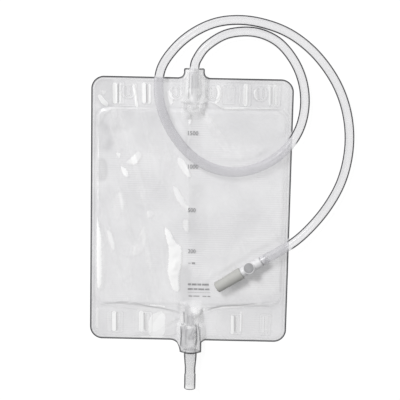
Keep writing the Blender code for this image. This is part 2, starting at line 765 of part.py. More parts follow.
def build_connector():
    body_end = CONNECTOR_BODY_LENGTH
    tip_end = body_end + TIP_LENGTH
    collar_radius = CONNECTOR_COLLAR_RADIUS
    profile = [(CONNECTOR_BORE_RADIUS, tip_end), (TIP_END_RADIUS - TIP_STEP_DROP, tip_end)]
    for step in range(TIP_STEPS, 0, -1):
        share = step / TIP_STEPS
        narrow = TIP_BASE_RADIUS + (TIP_END_RADIUS - TIP_BASE_RADIUS) * share
        wide = TIP_BASE_RADIUS + (TIP_END_RADIUS - TIP_BASE_RADIUS) * (step - 1) / TIP_STEPS
        start = body_end + TIP_LENGTH * (step - 1) / TIP_STEPS
        profile.append((narrow - TIP_STEP_DROP, body_end + TIP_LENGTH * share - TIP_STEP_DROP))
        profile.append((wide, start + TIP_STEP_DROP))
    profile += [
        (CONNECTOR_RADIUS, body_end),
        (CONNECTOR_RADIUS, CONNECTOR_COLLAR_LENGTH + TIP_STEP_DROP),
        (collar_radius, CONNECTOR_COLLAR_LENGTH),
        (collar_radius, TIP_STEP_DROP),
        (collar_radius - TIP_STEP_DROP, 0.0),
        (CONNECTOR_BORE_RADIUS, 0.0),
    ]
    body = turned("connector_body", profile, connector_frame, connector_material, closed=True)
    recess_floor = SAMPLE_BOSS_HEIGHT - SEPTUM_THICKNESS - SEPTUM_INSET - CLEARANCE
    septum_top = SAMPLE_BOSS_HEIGHT - SEPTUM_INSET
    boss = turned("sample_boss", [
        (0.0, SAMPLE_BOSS_HEIGHT),
        (SAMPLE_BOSS_RADIUS - TIP_STEP_DROP, SAMPLE_BOSS_HEIGHT),
        (SAMPLE_BOSS_RADIUS, SAMPLE_BOSS_HEIGHT - TIP_STEP_DROP),
        (SAMPLE_BOSS_RADIUS, 0.0),
        (0.0, 0.0),
    ], sample_frame)
    recess = turned("sample_recess", [
        (0.0, SAMPLE_BOSS_HEIGHT + CUT_PAST),
        (SEPTUM_RADIUS + CLEARANCE, SAMPLE_BOSS_HEIGHT + CUT_PAST),
        (SEPTUM_RADIUS + CLEARANCE, recess_floor),
        (CONNECTOR_BORE_RADIUS, recess_floor),
        (CONNECTOR_BORE_RADIUS, 0.0),
        (0.0, 0.0),
    ], sample_frame)
    bore = turned("connector_bore", [
        (0.0, tip_end), (CONNECTOR_BORE_RADIUS, tip_end), (CONNECTOR_BORE_RADIUS, 0.0), (0.0, 0.0),
    ], connector_frame)
    boolean(body, "UNION", boss)
    boolean(body, "DIFFERENCE", bore)
    boolean(body, "DIFFERENCE", recess)
    turned("sample_septum", [
        (0.0, septum_top),
        (SEPTUM_RADIUS - SEPTUM_INSET, septum_top),
        (SEPTUM_RADIUS, septum_top - SEPTUM_INSET),
        (SEPTUM_RADIUS, septum_top - SEPTUM_THICKNESS),
        (0.0, septum_top - SEPTUM_THICKNESS),
    ], sample_frame, septum_material)


def build_cap():
    """A tapered thimble over the connector's tip, with a rounded closed end."""
    mouth = CONNECTOR_BODY_LENGTH + CLEARANCE
    end = mouth + CAP_LENGTH
    slope = (CAP_MOUTH_RADIUS - CAP_END_RADIUS) / CAP_LENGTH
    outer = [(0.0, end)]
    for step in range(FILLET_STEPS):
        turn = math.pi / 2 * (1 - step / (FILLET_STEPS - 1))
        outer.append((
            CAP_END_RADIUS - CAP_END_ROUND + CAP_END_ROUND * math.cos(turn),
            end - CAP_END_ROUND + CAP_END_ROUND * math.sin(turn),
        ))
    inner_end = end - CAP_END_WALL
    turned("connector_cap", [
        *outer,
        (CAP_MOUTH_RADIUS, mouth),
        (CAP_MOUTH_RADIUS - CAP_WALL, mouth),
        (CAP_MOUTH_RADIUS - CAP_WALL - slope * (inner_end - mouth), inner_end),
        (0.0, inner_end),
    ], connector_frame, cap_material)


clear_scene()
parts = make_collection("urine_drainage_bag")
cutters = make_collection("cutters")
film_material = make_material("clear_film", (0.80, 0.80, 0.82), 0.22, 0.35)
port_material = make_material("clear_port", (0.66, 0.66, 0.69), 0.20, 0.60)
stem_material = make_material("stem_plastic", (0.72, 0.72, 0.74), 0.35)
nozzle_material = make_material("nozzle_plastic", (0.70, 0.70, 0.72), 0.25, 0.75)
seal_material = make_material("seal_rubber", (0.35, 0.35, 0.36), 0.60)
tube_material = make_material("clear_tube", (0.76, 0.76, 0.78), 0.20, 0.60)
connector_material = make_material("white_plastic", (0.90, 0.90, 0.90), 0.40)
septum_material = make_material("grey_rubber", (0.40, 0.40, 0.40), 0.65)
cap_material = make_material("cap_plastic", (0.52, 0.52, 0.48), 0.45)

inlet_form = PortForm(
    INLET_X, 1, INLET_MOUTH_Y, INLET_LENGTH, INLET_RISE, INLET_WING,
    INLET_SPIGOT_LENGTH, INLET_SPIGOT_RADIUS + CLEARANCE + FILM,
)
outlet_form = PortForm(
    OUTLET_X, -1, -OUTLET_MOUTH_Y, OUTLET_LENGTH, OUTLET_RISE, OUTLET_WING,
    OUTLET_SPIGOT_LENGTH, OUTLET_SPIGOT_RADIUS,
)

inlet_frame = add_frame(
    "inlet_axis",
    Matrix.Translation((INLET_X, INLET_MOUTH_Y, INLET_AXIS_Z)) @ Matrix.Rotation(-math.pi / 2, 4, "X"),
)
outlet_frame = add_frame(
    "outlet_axis",
    Matrix.Translation((OUTLET_X, OUTLET_MOUTH_Y, OUTLET_AXIS_Z)) @ Matrix.Rotation(math.pi / 2, 4, "X"),
)
connector_frame = add_frame(
    "connector_axis",
    Matrix.Translation((*CONNECTOR_PLACE, CONNECTOR_AXIS_Z))
    @ Matrix.Rotation(math.radians(CONNECTOR_HEADING), 4, "Z")
    @ Matrix.Rotation(math.radians(CONNECTOR_ROLL), 4, "X")
    @ Matrix.Rotation(math.pi / 2, 4, "Y"),
)
sample_frame = add_frame(
    "sample_axis",
    connector_frame.matrix_world
    @ Matrix.Translation((0, 0, SAMPLE_PLACE))
    @ Matrix.Rotation(-math.pi / 2, 4, "Y"),
)
bpy.context.view_layer.update()

build_films()
build_inlet_port()
build_valve_sleeve()
build_outlet_port()
build_valve_stem()
build_outlet_nozzle()
build_tube()
build_connector()
build_cap()
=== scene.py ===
import math

import bpy
import numpy as np
from mathutils import Matrix, Vector
from mathutils.geometry import delaunay_2d_cdt


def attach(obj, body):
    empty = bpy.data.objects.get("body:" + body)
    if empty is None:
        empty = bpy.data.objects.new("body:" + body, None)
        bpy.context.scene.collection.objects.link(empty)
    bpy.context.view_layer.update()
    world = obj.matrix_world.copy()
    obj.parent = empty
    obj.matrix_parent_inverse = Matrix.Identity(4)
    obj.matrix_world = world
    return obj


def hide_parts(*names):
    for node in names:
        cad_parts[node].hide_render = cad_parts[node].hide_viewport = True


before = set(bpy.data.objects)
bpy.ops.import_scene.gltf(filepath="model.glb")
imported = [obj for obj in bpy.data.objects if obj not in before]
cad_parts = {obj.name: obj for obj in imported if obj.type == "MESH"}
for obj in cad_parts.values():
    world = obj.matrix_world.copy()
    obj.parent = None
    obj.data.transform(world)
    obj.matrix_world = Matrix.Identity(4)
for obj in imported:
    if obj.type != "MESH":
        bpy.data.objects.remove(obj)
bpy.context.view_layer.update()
print("drainage bag: solids loaded,", len(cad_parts), "nodes")


def smoothStep(value):
    value = np.clip(value, 0.0, 1.0)
    return value * value * (3.0 - 2.0 * value)


def softNoise(x, y, size, seed, waves=9):
    # a smooth, repeatable unevenness between about -1 and 1, with lumps of this size
    dice = np.random.default_rng(seed)
    total = np.zeros_like(x)
    for _ in range(waves):
        heading = dice.uniform(0.0, 2.0 * math.pi)
        pace = 2.0 * math.pi / (size * dice.uniform(0.7, 1.7))
        shift = dice.uniform(0.0, 2.0 * math.pi)
        total += np.sin(pace * (x * math.cos(heading) + y * math.sin(heading)) + shift)
    return total / math.sqrt(waves * 2.0)


def alongLine(x, y, points):
    # distance to a line of points, the side of it (+1 on its left), and the share of its length
    lengths = [math.dist(a, b) for a, b in zip(points, points[1:])]
    whole = sum(lengths)
    nearest = np.full(x.shape, 1e9)
    side = np.ones(x.shape)
    share = np.zeros(x.shape)
    done = 0.0
    for (ax, ay), (bx, by), length in zip(points, points[1:], lengths):
        dx, dy = (bx - ax) / length, (by - ay) / length
        run = np.clip((x - ax) * dx + (y - ay) * dy, 0.0, length)
        offX, offY = x - ax - run * dx, y - ay - run * dy
        gap = np.hypot(offX, offY)
        closer = gap < nearest
        nearest = np.where(closer, gap, nearest)
        side = np.where(closer, np.where(dx * offY - dy * offX >= 0, 1.0, -1.0), side)
        share = np.where(closer, (done + run) / whole, share)
        done += length
    return nearest, side, share


def insideLoop(x, y, loop):
    inside = np.zeros(x.shape, dtype=bool)
    for (ax, ay), (bx, by) in zip(loop, loop[1:] + loop[:1]):
        if ay == by:
            continue
        crosses = (ay > y) != (by > y)
        inside ^= crosses & (x < (bx - ax) * (y - ay) / (by - ay) + ax)
    return inside


def rectGap(x, y, halfWidth, halfHeight, corner):
    # signed distance to the edge of a rectangle with round corners
    outX = np.abs(x) - halfWidth + corner
    outY = np.abs(y) - halfHeight + corner
    outside = np.hypot(np.maximum(outX, 0.0), np.maximum(outY, 0.0))
    return outside + np.minimum(np.maximum(outX, outY), 0.0) - corner


def bell(distance, width):
    return np.exp(-(distance / width) ** 2)


def addPiece(name, mesh, body, materials, creaseAngle=None):
    piece = bpy.data.objects.new(name, mesh)
    bpy.context.scene.collection.objects.link(piece)
    for material in materials:
        mesh.materials.append(material)
    mesh.shade_smooth()
    if creaseAngle:
        mesh.set_sharp_from_angle(angle=math.radians(creaseAngle))
    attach(piece, body)
    return piece


def loftRings(name, skins):
    # each skin is a list of rings of equal count; one ring point makes a pole
    points = []
    faces = []
    slots = []
    for index, rings in enumerate(skins):
        starts = []
        for ring in rings:
            starts.append((len(points), len(ring)))
            points.extend(tuple(point) for point in ring)
        for (first, firstCount), (second, secondCount) in zip(starts, starts[1:]):
            count = max(firstCount, secondCount)
            for i in range(count):
                j = (i + 1) % count
                a = [first] if firstCount == 1 else [first + i, first + j]
                b = [second] if secondCount == 1 else [second + j, second + i]
                faces.append(a + b)
                slots.append(index)
    mesh = bpy.data.meshes.new(name)
    mesh.from_pydata(points, [], faces)
    mesh.update()
    mesh.polygons.foreach_set("material_index", slots)
    return mesh


def turnProfile(name, profile, place, sides):
    # (radius, z) points turned about z, faces outwards whichever way the profile runs
    area = sum(a[0] * b[1] - b[0] * a[1] for a, b in zip(profile, profile[1:] + profile[:1]))
    sweep = math.copysign(2.0 * math.pi, area)
    rings = []
    for radius, z in profile:
        if radius == 0.0:
            rings.append([place @ Vector((0.0, 0.0, z))])
            continue
        turns = [sweep * step / sides for step in range(sides)]
        rings.append([
            place @ Vector((radius * math.cos(a), radius * math.sin(a), z)) for a in turns
        ])
    return loftRings(name, [rings])


def joinMeshes(name, meshes):
    points = []
    faces = []
    slots = []
    for mesh in meshes:
        start = len(points)
        points.extend(tuple(vert.co) for vert in mesh.vertices)
        for face in mesh.polygons:
            faces.append([start + i for i in face.vertices])
            slots.append(face.material_index)
    joined = bpy.data.meshes.new(name)
    joined.from_pydata(points, [], faces)
    joined.update()
    joined.polygons.foreach_set("material_index", slots)
    return joined


def addNumbers(mesh, name, values):
    layer = mesh.attributes.new(name, "FLOAT", "POINT")
    layer.data.foreach_set("value", np.asarray(values, dtype=np.float32))


cameraSetup = {
    "aim": (0.00974, 0.01172, 0.0),
    "distance": 1.25,
    "tilt": 9.67,     # degrees from straight above, leaning over the inlet's end
    "roll": 1.18,
    "lens": 110.0,
    "sensor": 36.0,
    "nearest": 0.05,
    "farthest": 20.0,
}


def addCamera(setup):
    tilt = math.radians(setup["tilt"])
    roll = math.radians(setup["roll"])
    forward = Vector((0.0, -math.sin(tilt), -math.cos(tilt)))
    up = Vector((0.0, math.cos(tilt), -math.sin(tilt)))
    right = Vector((1.0, 0.0, 0.0))
    turnedRight = right * math.cos(roll) + up * math.sin(roll)
    turnedUp = up * math.cos(roll) - right * math.sin(roll)
    place = Vector(setup["aim"]) - forward * setup["distance"]
    turn = Matrix((turnedRight, turnedUp, -forward)).transposed().to_4x4()
    lens = bpy.data.cameras.new("photoCamera")
    lens.lens = setup["lens"]
    lens.sensor_width = setup["sensor"]
    lens.clip_start = setup["nearest"]
    lens.clip_end = setup["farthest"]
    camera = bpy.data.objects.new("photoCamera", lens)
    camera.matrix_world = Matrix.Translation(place) @ turn
    bpy.context.scene.collection.objects.link(camera)
    bpy.context.scene.camera = camera


addCamera(cameraSetup)
print("drainage bag: camera placed")


def plug(tree, value, target):
    if isinstance(value, bpy.types.NodeSocket):
        tree.links.new(value, target)
    else:
        target.default_value = value


def addNode(tree, kind, **values):
    # a shader node with inputs set or linked by their names, where _ stands for a space
    node = tree.nodes.new("ShaderNode" + kind)
    for name, value in values.items():
        plug(tree, value, node.inputs[name.replace("_", " ")])
    return node


class Finish:
    # a Principled material and short calls that add nodes to it
    def __init__(self, name, base, roughness, alpha=1.0, ior=1.5, specular=0.5):
        self.material = bpy.data.materials.new(name)
        self.material.use_nodes = True
        self.tree = self.material.node_tree
        self.shader = self.tree.nodes["Principled BSDF"]
        self.feed("Base Color", (*base, 1.0))
        self.feed("Roughness", roughness)
        self.feed("Alpha", alpha)
        self.feed("IOR", ior)
        self.feed("Specular IOR Level", specular)
        self.places = self.add("TexCoord").outputs["Object"]

    def feed(self, socket, value):
        plug(self.tree, value, self.shader.inputs[socket])

    def add(self, kind, **values):
        return addNode(self.tree, kind, **values)

    def noise(self, scale, detail, rough=0.5):
        node = self.add("TexNoise", Scale=scale, Detail=detail, Roughness=rough, Vector=self.places)
        return node.outputs["Fac"]

    def attribute(self, name, output="Fac"):
        node = self.add("Attribute")
        node.attribute_name = name
        return node.outputs[output]

    def facing(self):
        return self.add("LayerWeight", Blend=0.5).outputs["Facing"]

    def aroundTube(self, along):
        # 0 on the line of a round piece that faces the eye, 1 on its outline, whichever way it runs
        tipped = self.add("LayerWeight", Blend=0.5, Normal=along).outputs["Facing"]
        lengthwise = self.maths("SUBTRACT", 1.0, tipped)
        square = self.maths("SUBTRACT", 1.0, self.maths("MULTIPLY", lengthwise, lengthwise))
        tilt = self.maths("POWER", self.maths("MAXIMUM", square, 0.02), 0.5)
        toward = self.maths("SUBTRACT", 1.0, self.facing())
        return self.maths("SUBTRACT", 1.0, self.maths("DIVIDE", toward, tilt))

    def ranged(self, value, low, high, outLow, outHigh):
        node = self.add("MapRange", Value=value, From_Min=low, From_Max=high, To_Min=outLow, To_Max=outHigh)
        return node.outputs["Result"]

    def maths(self, operation, first, second):
        node = self.add("Math")
        node.operation = operation
        plug(self.tree, first, node.inputs[0])
        plug(self.tree, second, node.inputs[1])
        return node.outputs["Value"]

    def mixed(self, share, first, second):
        node = self.add("Mix", Factor=share)
        node.data_type = "RGBA"
        for socket, shade in zip(node.inputs[6:8], (first, second)):
            plug(self.tree, (*shade, 1.0) if isinstance(shade, tuple) else shade, socket)
        return node.outputs[2]

    def bump(self, height, depth):
        node = self.add("Bump", Strength=1.0, Distance=depth, Height=height)
        self.feed("Normal", node.outputs["Normal"])


filmLooks = {
    "grey": (0.745, 0.74, 0.76),
    "greyDark": (0.66, 0.655, 0.678),
    "highlightWhite": (1.0, 1.0, 1.0),
    "paintedShadeDark": (0.05, 0.05, 0.055),
    "alpha": 0.36,
    "markedAlpha": 0.97,    # of the film under its painted highlights and painted shade
    "whiteCover": 0.92,
    "roughness": 0.24,
    "ior": 1.6,
    "specular": 0.45,
    "portSatin": 0.30,      # added where a film is stretched over a port
    "backClearing": 0.9,     # share of its cover that the back film loses over the ports, which lifts the shade there
    "frontClearing": 0.45,   # and the front film where it is drawn steeply, which lifts the shade of those slopes
    "backHighlight": 0.35,       # share of the painted highlights that the back film shows
    "backShade": 0.8,         # and of the painted shade
    "lineGap": 0.0023,      # metres between embossed lines
    "lineWhite": 0.10,
    "emboss": 0.000012,
}


def clearFilm(name, looks):
    alpha, roughness = looks["alpha"], looks["roughness"]
    film = Finish(name, looks["grey"], roughness, alpha, looks["ior"], looks["specular"])
    blotch = film.noise(26.0, 2.0, 0.5)
    shade = film.mixed(film.ranged(blotch, 0.35, 0.68, 0.0, 1.0), looks["grey"], looks["greyDark"])
    # painted highlights and painted shade, carried by the films as attributes
    paintedHighlight = film.attribute("paintedHighlight")
    inkAndPaintedShade = film.attribute("inkAndPaintedShade")
    # embossed lines, seen only in patches
    pace = 0.314 / looks["lineGap"]     # a wave texture of scale 1 repeats every 0.314 m
    wave = film.add("TexWave", Scale=pace, Distortion=1.2, Detail=1.0, Vector=film.places)
    wave.bands_direction = "Y"
    patchy = film.ranged(film.noise(17.0, 2.0), 0.48, 0.62, 0.0, looks["lineWhite"])
    lines = film.maths("MULTIPLY", wave.outputs["Fac"], patchy)
    white = film.ranged(film.maths("ADD", paintedHighlight, lines), 0.0, 1.0, 0.0, 1.0)
    # painted highlights whiten the film
    shade = film.mixed(white, shade, looks["highlightWhite"])
    # painted shade and the painted dark outline darken the film
    shade = film.mixed(inkAndPaintedShade, shade, looks["paintedShadeDark"])
    film.feed("Base Color", shade)
    clear = film.ranged(blotch, 0.3, 0.7, alpha - 0.02, alpha + 0.03)
    # clearer where the shade is lifted: over the ports and on the steep slopes
    clear = film.maths("MULTIPLY", clear, film.maths("SUBTRACT", 1.0, film.attribute("clearedAgainstShade")))
    marked = film.maths("MAXIMUM", film.maths("MULTIPLY", white, looks["whiteCover"]), inkAndPaintedShade)
    gain = film.maths("MULTIPLY", marked, looks["markedAlpha"] - alpha)
    film.feed("Alpha", film.maths("ADD", clear, gain))
    satin = film.ranged(film.noise(60.0, 2.0), 0.3, 0.7, roughness - 0.06, roughness + 0.06)
    matter = film.maths("MULTIPLY", film.attribute("overPort"), looks["portSatin"])
    film.feed("Roughness", film.maths("ADD", satin, matter))
    film.bump(wave.outputs["Fac"], looks["emboss"])
    return film.material


def tubeWall(name, looks, alpha):
    wall = Finish(name, looks["grey"], looks["roughness"], alpha, looks["ior"], looks["specular"])
    cloud = wall.ranged(wall.noise(40.0, 1.0), 0.3, 0.7, 0.0, 1.0)
    return wall, wall.mixed(cloud, looks["grey"], looks["greyDark"])


def boreWall(looks):
    alpha = looks["innerWall"]
    bore, shade = tubeWall("clearTubeBore", looks, alpha)
    bore.feed("Base Color", shade)
    bore.feed("Alpha", bore.ranged(bore.noise(200.0, 2.0), 0.3, 0.7, alpha - 0.01, alpha + 0.01))
    return bore.material


def outerWall(looks):
    tube, shade = tubeWall("clearTubeOuter", looks, looks["outerWall"])
    around = tube.aroundTube(tube.attribute("along", "Vector"))
    offBag = tube.attribute("offBag")
    # painted dark outline where the tube turns away, off the bag only
    rim = tube.ranged(around, looks["rimStart"], looks["rimEnd"], 0.0, 1.0)
    rim = tube.maths("MULTIPLY", rim, offBag)
    # painted shade over the bag, darkest down the tube's middle
    shade = tube.mixed(tube.ranged(offBag, 0.0, 1.0, looks["overBag"], 0.0), shade, looks["overBagShade"])
    onFilm = tube.ranged(offBag, 0.0, 1.0, looks["coreShade"], 0.0)
    core = tube.ranged(around, 0.02, 0.16, 1.0, 0.0)
    shade = tube.mixed(tube.maths("MULTIPLY", onFilm, core), shade, looks["paintedDark"])
    shade = tube.mixed(rim, shade, looks["paintedDark"])
    shade = tube.mixed(tube.attribute("onBarb"), shade, looks["barbGrey"])
    # painted shadow line where the tube's end meets the connector's collar
    seam = tube.maths("MULTIPLY", tube.maths("POWER", tube.attribute("seam"), 2.5), looks["seamLineShade"])
    shade = tube.mixed(seam, shade, looks["paintedDark"])
    tube.feed("Base Color", shade)
    alpha = looks["outerWall"]
    clear = tube.ranged(tube.attribute("inSocket"), 0.0, 1.0, alpha, alpha * 0.5)
    clear = tube.maths("ADD", clear, tube.maths("MULTIPLY", tube.attribute("onBarb"), looks["barbAlpha"]))
    tube.feed("Alpha", tube.maths("ADD", tube.maths("MULTIPLY", rim, looks["rimAlpha"]), clear))
    tube.feed("Roughness", tube.ranged(tube.noise(200.0, 2.0), 0.3, 0.7, 0.12, 0.22))
    tube.bump(tube.noise(60.0, 2.0), 0.00003)
    return tube.material


def moulded(name, base, darker, roughness, alpha=1.0, grainScale=900.0, grainDepth=0.00002):
    part = Finish(name, base, roughness, alpha)
    cloud = part.noise(140.0, 4.0, 0.6)
    part.feed("Base Color", part.mixed(part.ranged(cloud, 0.35, 0.65, 0.0, 1.0), base, darker))
    part.feed("Roughness", part.ranged(part.noise(400.0, 2.0), 0.3, 0.7, roughness - 0.06, roughness + 0.08))
    part.bump(part.noise(grainScale, 2.0), grainDepth)
    return part


def clearMoulding(name, looks, along=None):
    # a see-through moulding with a painted dark outline where it turns away
    part = moulded(
        name, looks["grey"], looks["greyDark"], looks["roughness"], looks["alpha"], 500.0, looks["grain"],
    )
    if along:
        turned = part.aroundTube(part.add("CombineXYZ", **dict(zip("XYZ", along))).outputs["Vector"])
    else:
        turned = part.facing()
    rim = part.ranged(turned, looks["rimStart"], looks["rimEnd"], 0.0, 1.0)
    shade = part.shader.inputs["Base Color"].links[0].from_socket
    part.feed("Base Color", part.mixed(rim, shade, looks["edge"]))
    gain = part.maths("MULTIPLY", rim, looks["edgeAlpha"] - looks["alpha"])
    part.feed("Alpha", part.maths("ADD", gain, looks["alpha"]))
    return part.material


def roundedEnd(name, base, darker, outside, inside):
    # painted dark from outside and clear from inside, so that only the near half of the edge shows
    end = moulded(name, base, darker, 0.5)
    back = end.add("NewGeometry").outputs["Backfacing"]
    end.feed("Alpha", end.ranged(back, 0.0, 1.0, outside, inside))
    return end.material


def inkFinish(name, base, darker, alpha):
    # print with a slightly worn, uneven cover
    inkAndPaintedShade = Finish(name, base, 0.45, alpha)
    wear = inkAndPaintedShade.noise(900.0, 3.0, 0.7)
    inkAndPaintedShade.feed("Base Color", inkAndPaintedShade.mixed(inkAndPaintedShade.ranged(wear, 0.35, 0.65, 0.0, 1.0), base, darker))
    inkAndPaintedShade.feed("Alpha", inkAndPaintedShade.ranged(wear, 0.25, 0.55, alpha - 0.12, alpha))
    return inkAndPaintedShade.material


drainTube = {
    "radius": 0.005,
    "boreRadius": 0.0035,
    "length": 0.90,
    "sides": 32,
    "ringStep": 0.002,
    "boreRings": 4,
    "barbRings": 4.0,       # rings over which the tube's end turns pale on the barb
    "bagFade": 0.0025,      # metres over which its look changes at the bag's edge
    "straightEnd": 0.010,
    "socket": (0.0015, 0.1263, 0.0075),
    "mouth": (0.0015, 0.1463, 0.0075),
    "route": (
        (0.0042, 0.1560, 0.0072), (0.0139, 0.1690, 0.0062), (0.0340, 0.1809, 0.0054),
        (0.0600, 0.1832, 0.0051), (0.0829, 0.1748, 0.0051), (0.0999, 0.1568, 0.0051),
        (0.1103, 0.1342, 0.0051), (0.1130, 0.1094, 0.0053), (0.1075, 0.0852, 0.0063),
        (0.0936, 0.0648, 0.0078), (0.0735, 0.0502, 0.0078), (0.0498, 0.0428, 0.0078),
        (0.0251, 0.0449, 0.0078), (0.0029, 0.0561, 0.0078), (-0.0146, 0.0739, 0.0078),
        (-0.0272, 0.0954, 0.0078), (-0.0336, 0.1194, 0.0070), (-0.0320, 0.1442, 0.0060),
        (-0.0189, 0.1652, 0.0052), (0.0001, 0.1816, 0.0051), (0.0228, 0.1920, 0.0051),
        (0.0474, 0.1948, 0.0051), (0.0721, 0.1912, 0.0051), (0.0954, 0.1825, 0.0051),
        (0.1160, 0.1683, 0.0051), (0.1331, 0.1501, 0.0051), (0.1465, 0.1291, 0.0051),
        (0.1553, 0.1058, 0.0051), (0.1592, 0.0812, 0.0051), (0.1580, 0.0563, 0.0051),
        (0.1519, 0.0321, 0.0051), (0.1407, 0.0098, 0.0052), (0.1259, -0.0102, 0.0060),
        (0.1081, -0.0276, 0.0078), (0.0872, -0.0413, 0.0089),
    ),
    "grey": (0.70, 0.695, 0.72),
    "greyDark": (0.66, 0.655, 0.68),
    # colour and share of the painted shade where the tube lies over the bag
    "overBagShade": (0.56, 0.55, 0.60),
    "overBag": 0.6,
    # dark of the tube's painted outline and painted shade
    "paintedDark": (0.03, 0.03, 0.035),
    "roughness": 0.16,
    "ior": 1.45,
    "specular": 0.4,
    "outerWall": 0.26,
    "innerWall": 0.03,
    "rimStart": 0.27,
    "rimEnd": 0.37,
    "rimAlpha": 0.72,
    "coreShade": 0.10,        # painted shade down the middle of the tube over the bag
    "barbGrey": (0.72, 0.715, 0.74),
    "barbAlpha": 0.50,
    "seamLineShade": 0.6,
}

connector = {
    "place": (0.0735, -0.0493, 0.0090),
    "heading": 212.5,
    "roll": 16.0,
    "radius": 0.0049,
    "bodyLength": 0.0232,
    "collarRadius": 0.0053,
    "collarLength": 0.0045,
    "boreRadius": 0.0021,
    "tipLength": 0.027,
    "tipBase": 0.0046,
    "tipEnd": 0.0031,
    "tipSteps": 3,
    "stepDrop": 0.0003,
    "sides": 72,
    # (radius, place) of the barb inside the tube's bore
    "barb": (
        (0.0040, 0.0), (0.0034, -0.0004), (0.0030, -0.0015), (0.00345, -0.0017), (0.0030, -0.0035),
        (0.0027, -0.004), (0.0021, -0.004),
    ),
    "samplePlace": 0.0138,
    "bossRadius": 0.00595,
    "bossHeight": 0.0068,
    "septumRadius": 0.00495,
    "septumThickness": 0.0028,
    "septumInset": 0.0002,
    "septumSides": 64,
    # (radius, height over its top) of the septum's round edge and shallow ring
    "septumFace": (
        (0.00495, -0.0004), (0.00485, -0.00015), (0.00455, 0.0),
        (0.0034, 0.0), (0.0033, -0.00012), (0.0031, -0.00012), (0.0030, 0.0), (0.0, 0.0),
    ),
}

connectorFrame = (
    Matrix.Translation(connector["place"])
    @ Matrix.Rotation(math.radians(connector["heading"]), 4, "Z")
    @ Matrix.Rotation(math.radians(connector["roll"]), 4, "X")
    @ Matrix.Rotation(math.pi / 2, 4, "Y")
)
sampleFrame = (
    connectorFrame
    @ Matrix.Translation((0.0, 0.0, connector["samplePlace"]))
    @ Matrix.Rotation(-math.pi / 2, 4, "Y")
)


def evenRoute(points, step):
    # evenly spaced points on a smooth curve through the given ones
    fineParts = 24
    points = [Vector(point) for point in points]
    fine = []
    for i in range(len(points) - 1):
        before = points[max(i - 1, 0)]
        start, end = points[i], points[i + 1]
        after = points[min(i + 2, len(points) - 1)]
        for part in range(fineParts):
            t = part / fineParts
            fine.append(
                (2 * start + (end - before) * t
                 + (2 * before - 5 * start + 4 * end - after) * t ** 2
                 + (3 * start - before - 3 * end + after) * t ** 3) / 2
            )
    fine.append(points[-1])
    lengths = [0.0]
    for a, b in zip(fine, fine[1:]):
        lengths.append(lengths[-1] + (b - a).length)
    count = round(lengths[-1] / step)
    route = []
    index = 0
    for part in range(count + 1):
        target = lengths[-1] * part / count
        while index < len(fine) - 2 and lengths[index + 1] < target:
            index += 1
        share = (target - lengths[index]) / (lengths[index + 1] - lengths[index])
        route.append(fine[index].lerp(fine[index + 1], share))
    return route


def sweepRings(route, radii, sides):
    # round rings square to the route, carried along it without twist
    across = Vector((0.0, 0.0, 1.0))
    skins = [[] for _ in radii]
    for i, point in enumerate(route):
        ahead = (route[min(i + 1, len(route) - 1)] - route[max(i - 1, 0)]).normalized()
        across = (across - ahead * across.dot(ahead)).normalized()
        beside = ahead.cross(across)
        for skin, radius in zip(skins, radii):
            skin.append([
                point + across * radius * math.cos(a) + beside * radius * math.sin(a)
                for a in (2.0 * math.pi * step / sides for step in range(sides))
            ])
    return skins


bagPlan = {
    "width": 0.204,
    "height": 0.273,
    "corner": 0.013,
    "film": 0.0003,
    "weldGap": 0.0003,
    "sideWeld": 0.005,
    "topBand": 0.0315,
    "bottomBand": 0.0365,
    "chamberCorner": 0.012,
    "chamberRise": 0.0015,
    "chamberRamp": 0.004,
    "flapPatternX": 0.002,
    "flapRadius": 0.0027,
    "flapHeight": 0.010,
    "flapOffsets": (0.0188, 0.0666),
    "flapDrop": 0.0153,
    "slitWidth": 0.0004,
    "slitLength": 0.018,
    "topSlitX": (-0.0743, -0.0444, 0.0532, 0.0831),
    "topSlitDrop": 0.0167,
    "bottomSlitX": (-0.0737, -0.0434, 0.0500, 0.0803),
    "bottomSlitRise": 0.0181,
    "tabCorner": 0.0016,
    "portSkirt": 0.004,
    "frontFall": 0.014,
    "backFall": 0.007,
    "spigotStep": 0.003,
    # spacing of the mesh's points in the welds and in the pouch, and how far the fine part reaches in
    "fineGrid": 0.00056,
    "bodyGrid": 0.0011,
    "fineReach": 0.002,
    "bodyHalf": 0.0945,
    "arcStep": 0.0005,
    "edgeRows": (0.00055, 0.0011),
    "edgeClear": 0.00175,
    "cutClear": 0.0004,
}

inletPort = {
    "x": 0.0015,
    "side": 1,
    "mouth": 0.1463,
    "tabMargin": 0.0005,
    "flare": 0.006,
    "length": 0.0334,
    "radius": 0.0069,
    "wing": 0.0099,
    "spigotLength": 0.006,
    "spigotRadius": 0.0046,
    "wrappedRadius": 0.0052,
    "boreRadius": 0.0033,
    "bevel": 0.0003,
    # (radius, place) of the socket's mouth
    "socket": ((0.0053, -0.0020), (0.0053, -0.0003), (0.0055, 0.0)),
    "axisZ": 0.0075,
}

outletPort = {
    "x": 0.003,
    "side": -1,
    "mouth": 0.1472,      # along the outlet's own direction
    "tabMargin": 0.0005,
    "flare": 0.0105,
    "length": 0.0273,
    "radius": 0.0073,
    "wing": 0.0107,
    "spigotLength": 0.013,
    "spigotRadius": 0.0056,
    "wrappedRadius": 0.0056,
    "boreRadius": 0.0042,
    "bevel": 0.0003,
    "socket": ((0.00635, -0.0030), (0.00635, -0.0020), (0.00575, -0.0020), (0.00575, 0.0)),
    "axisZ": 0.0079,
}

clearance = 0.0003


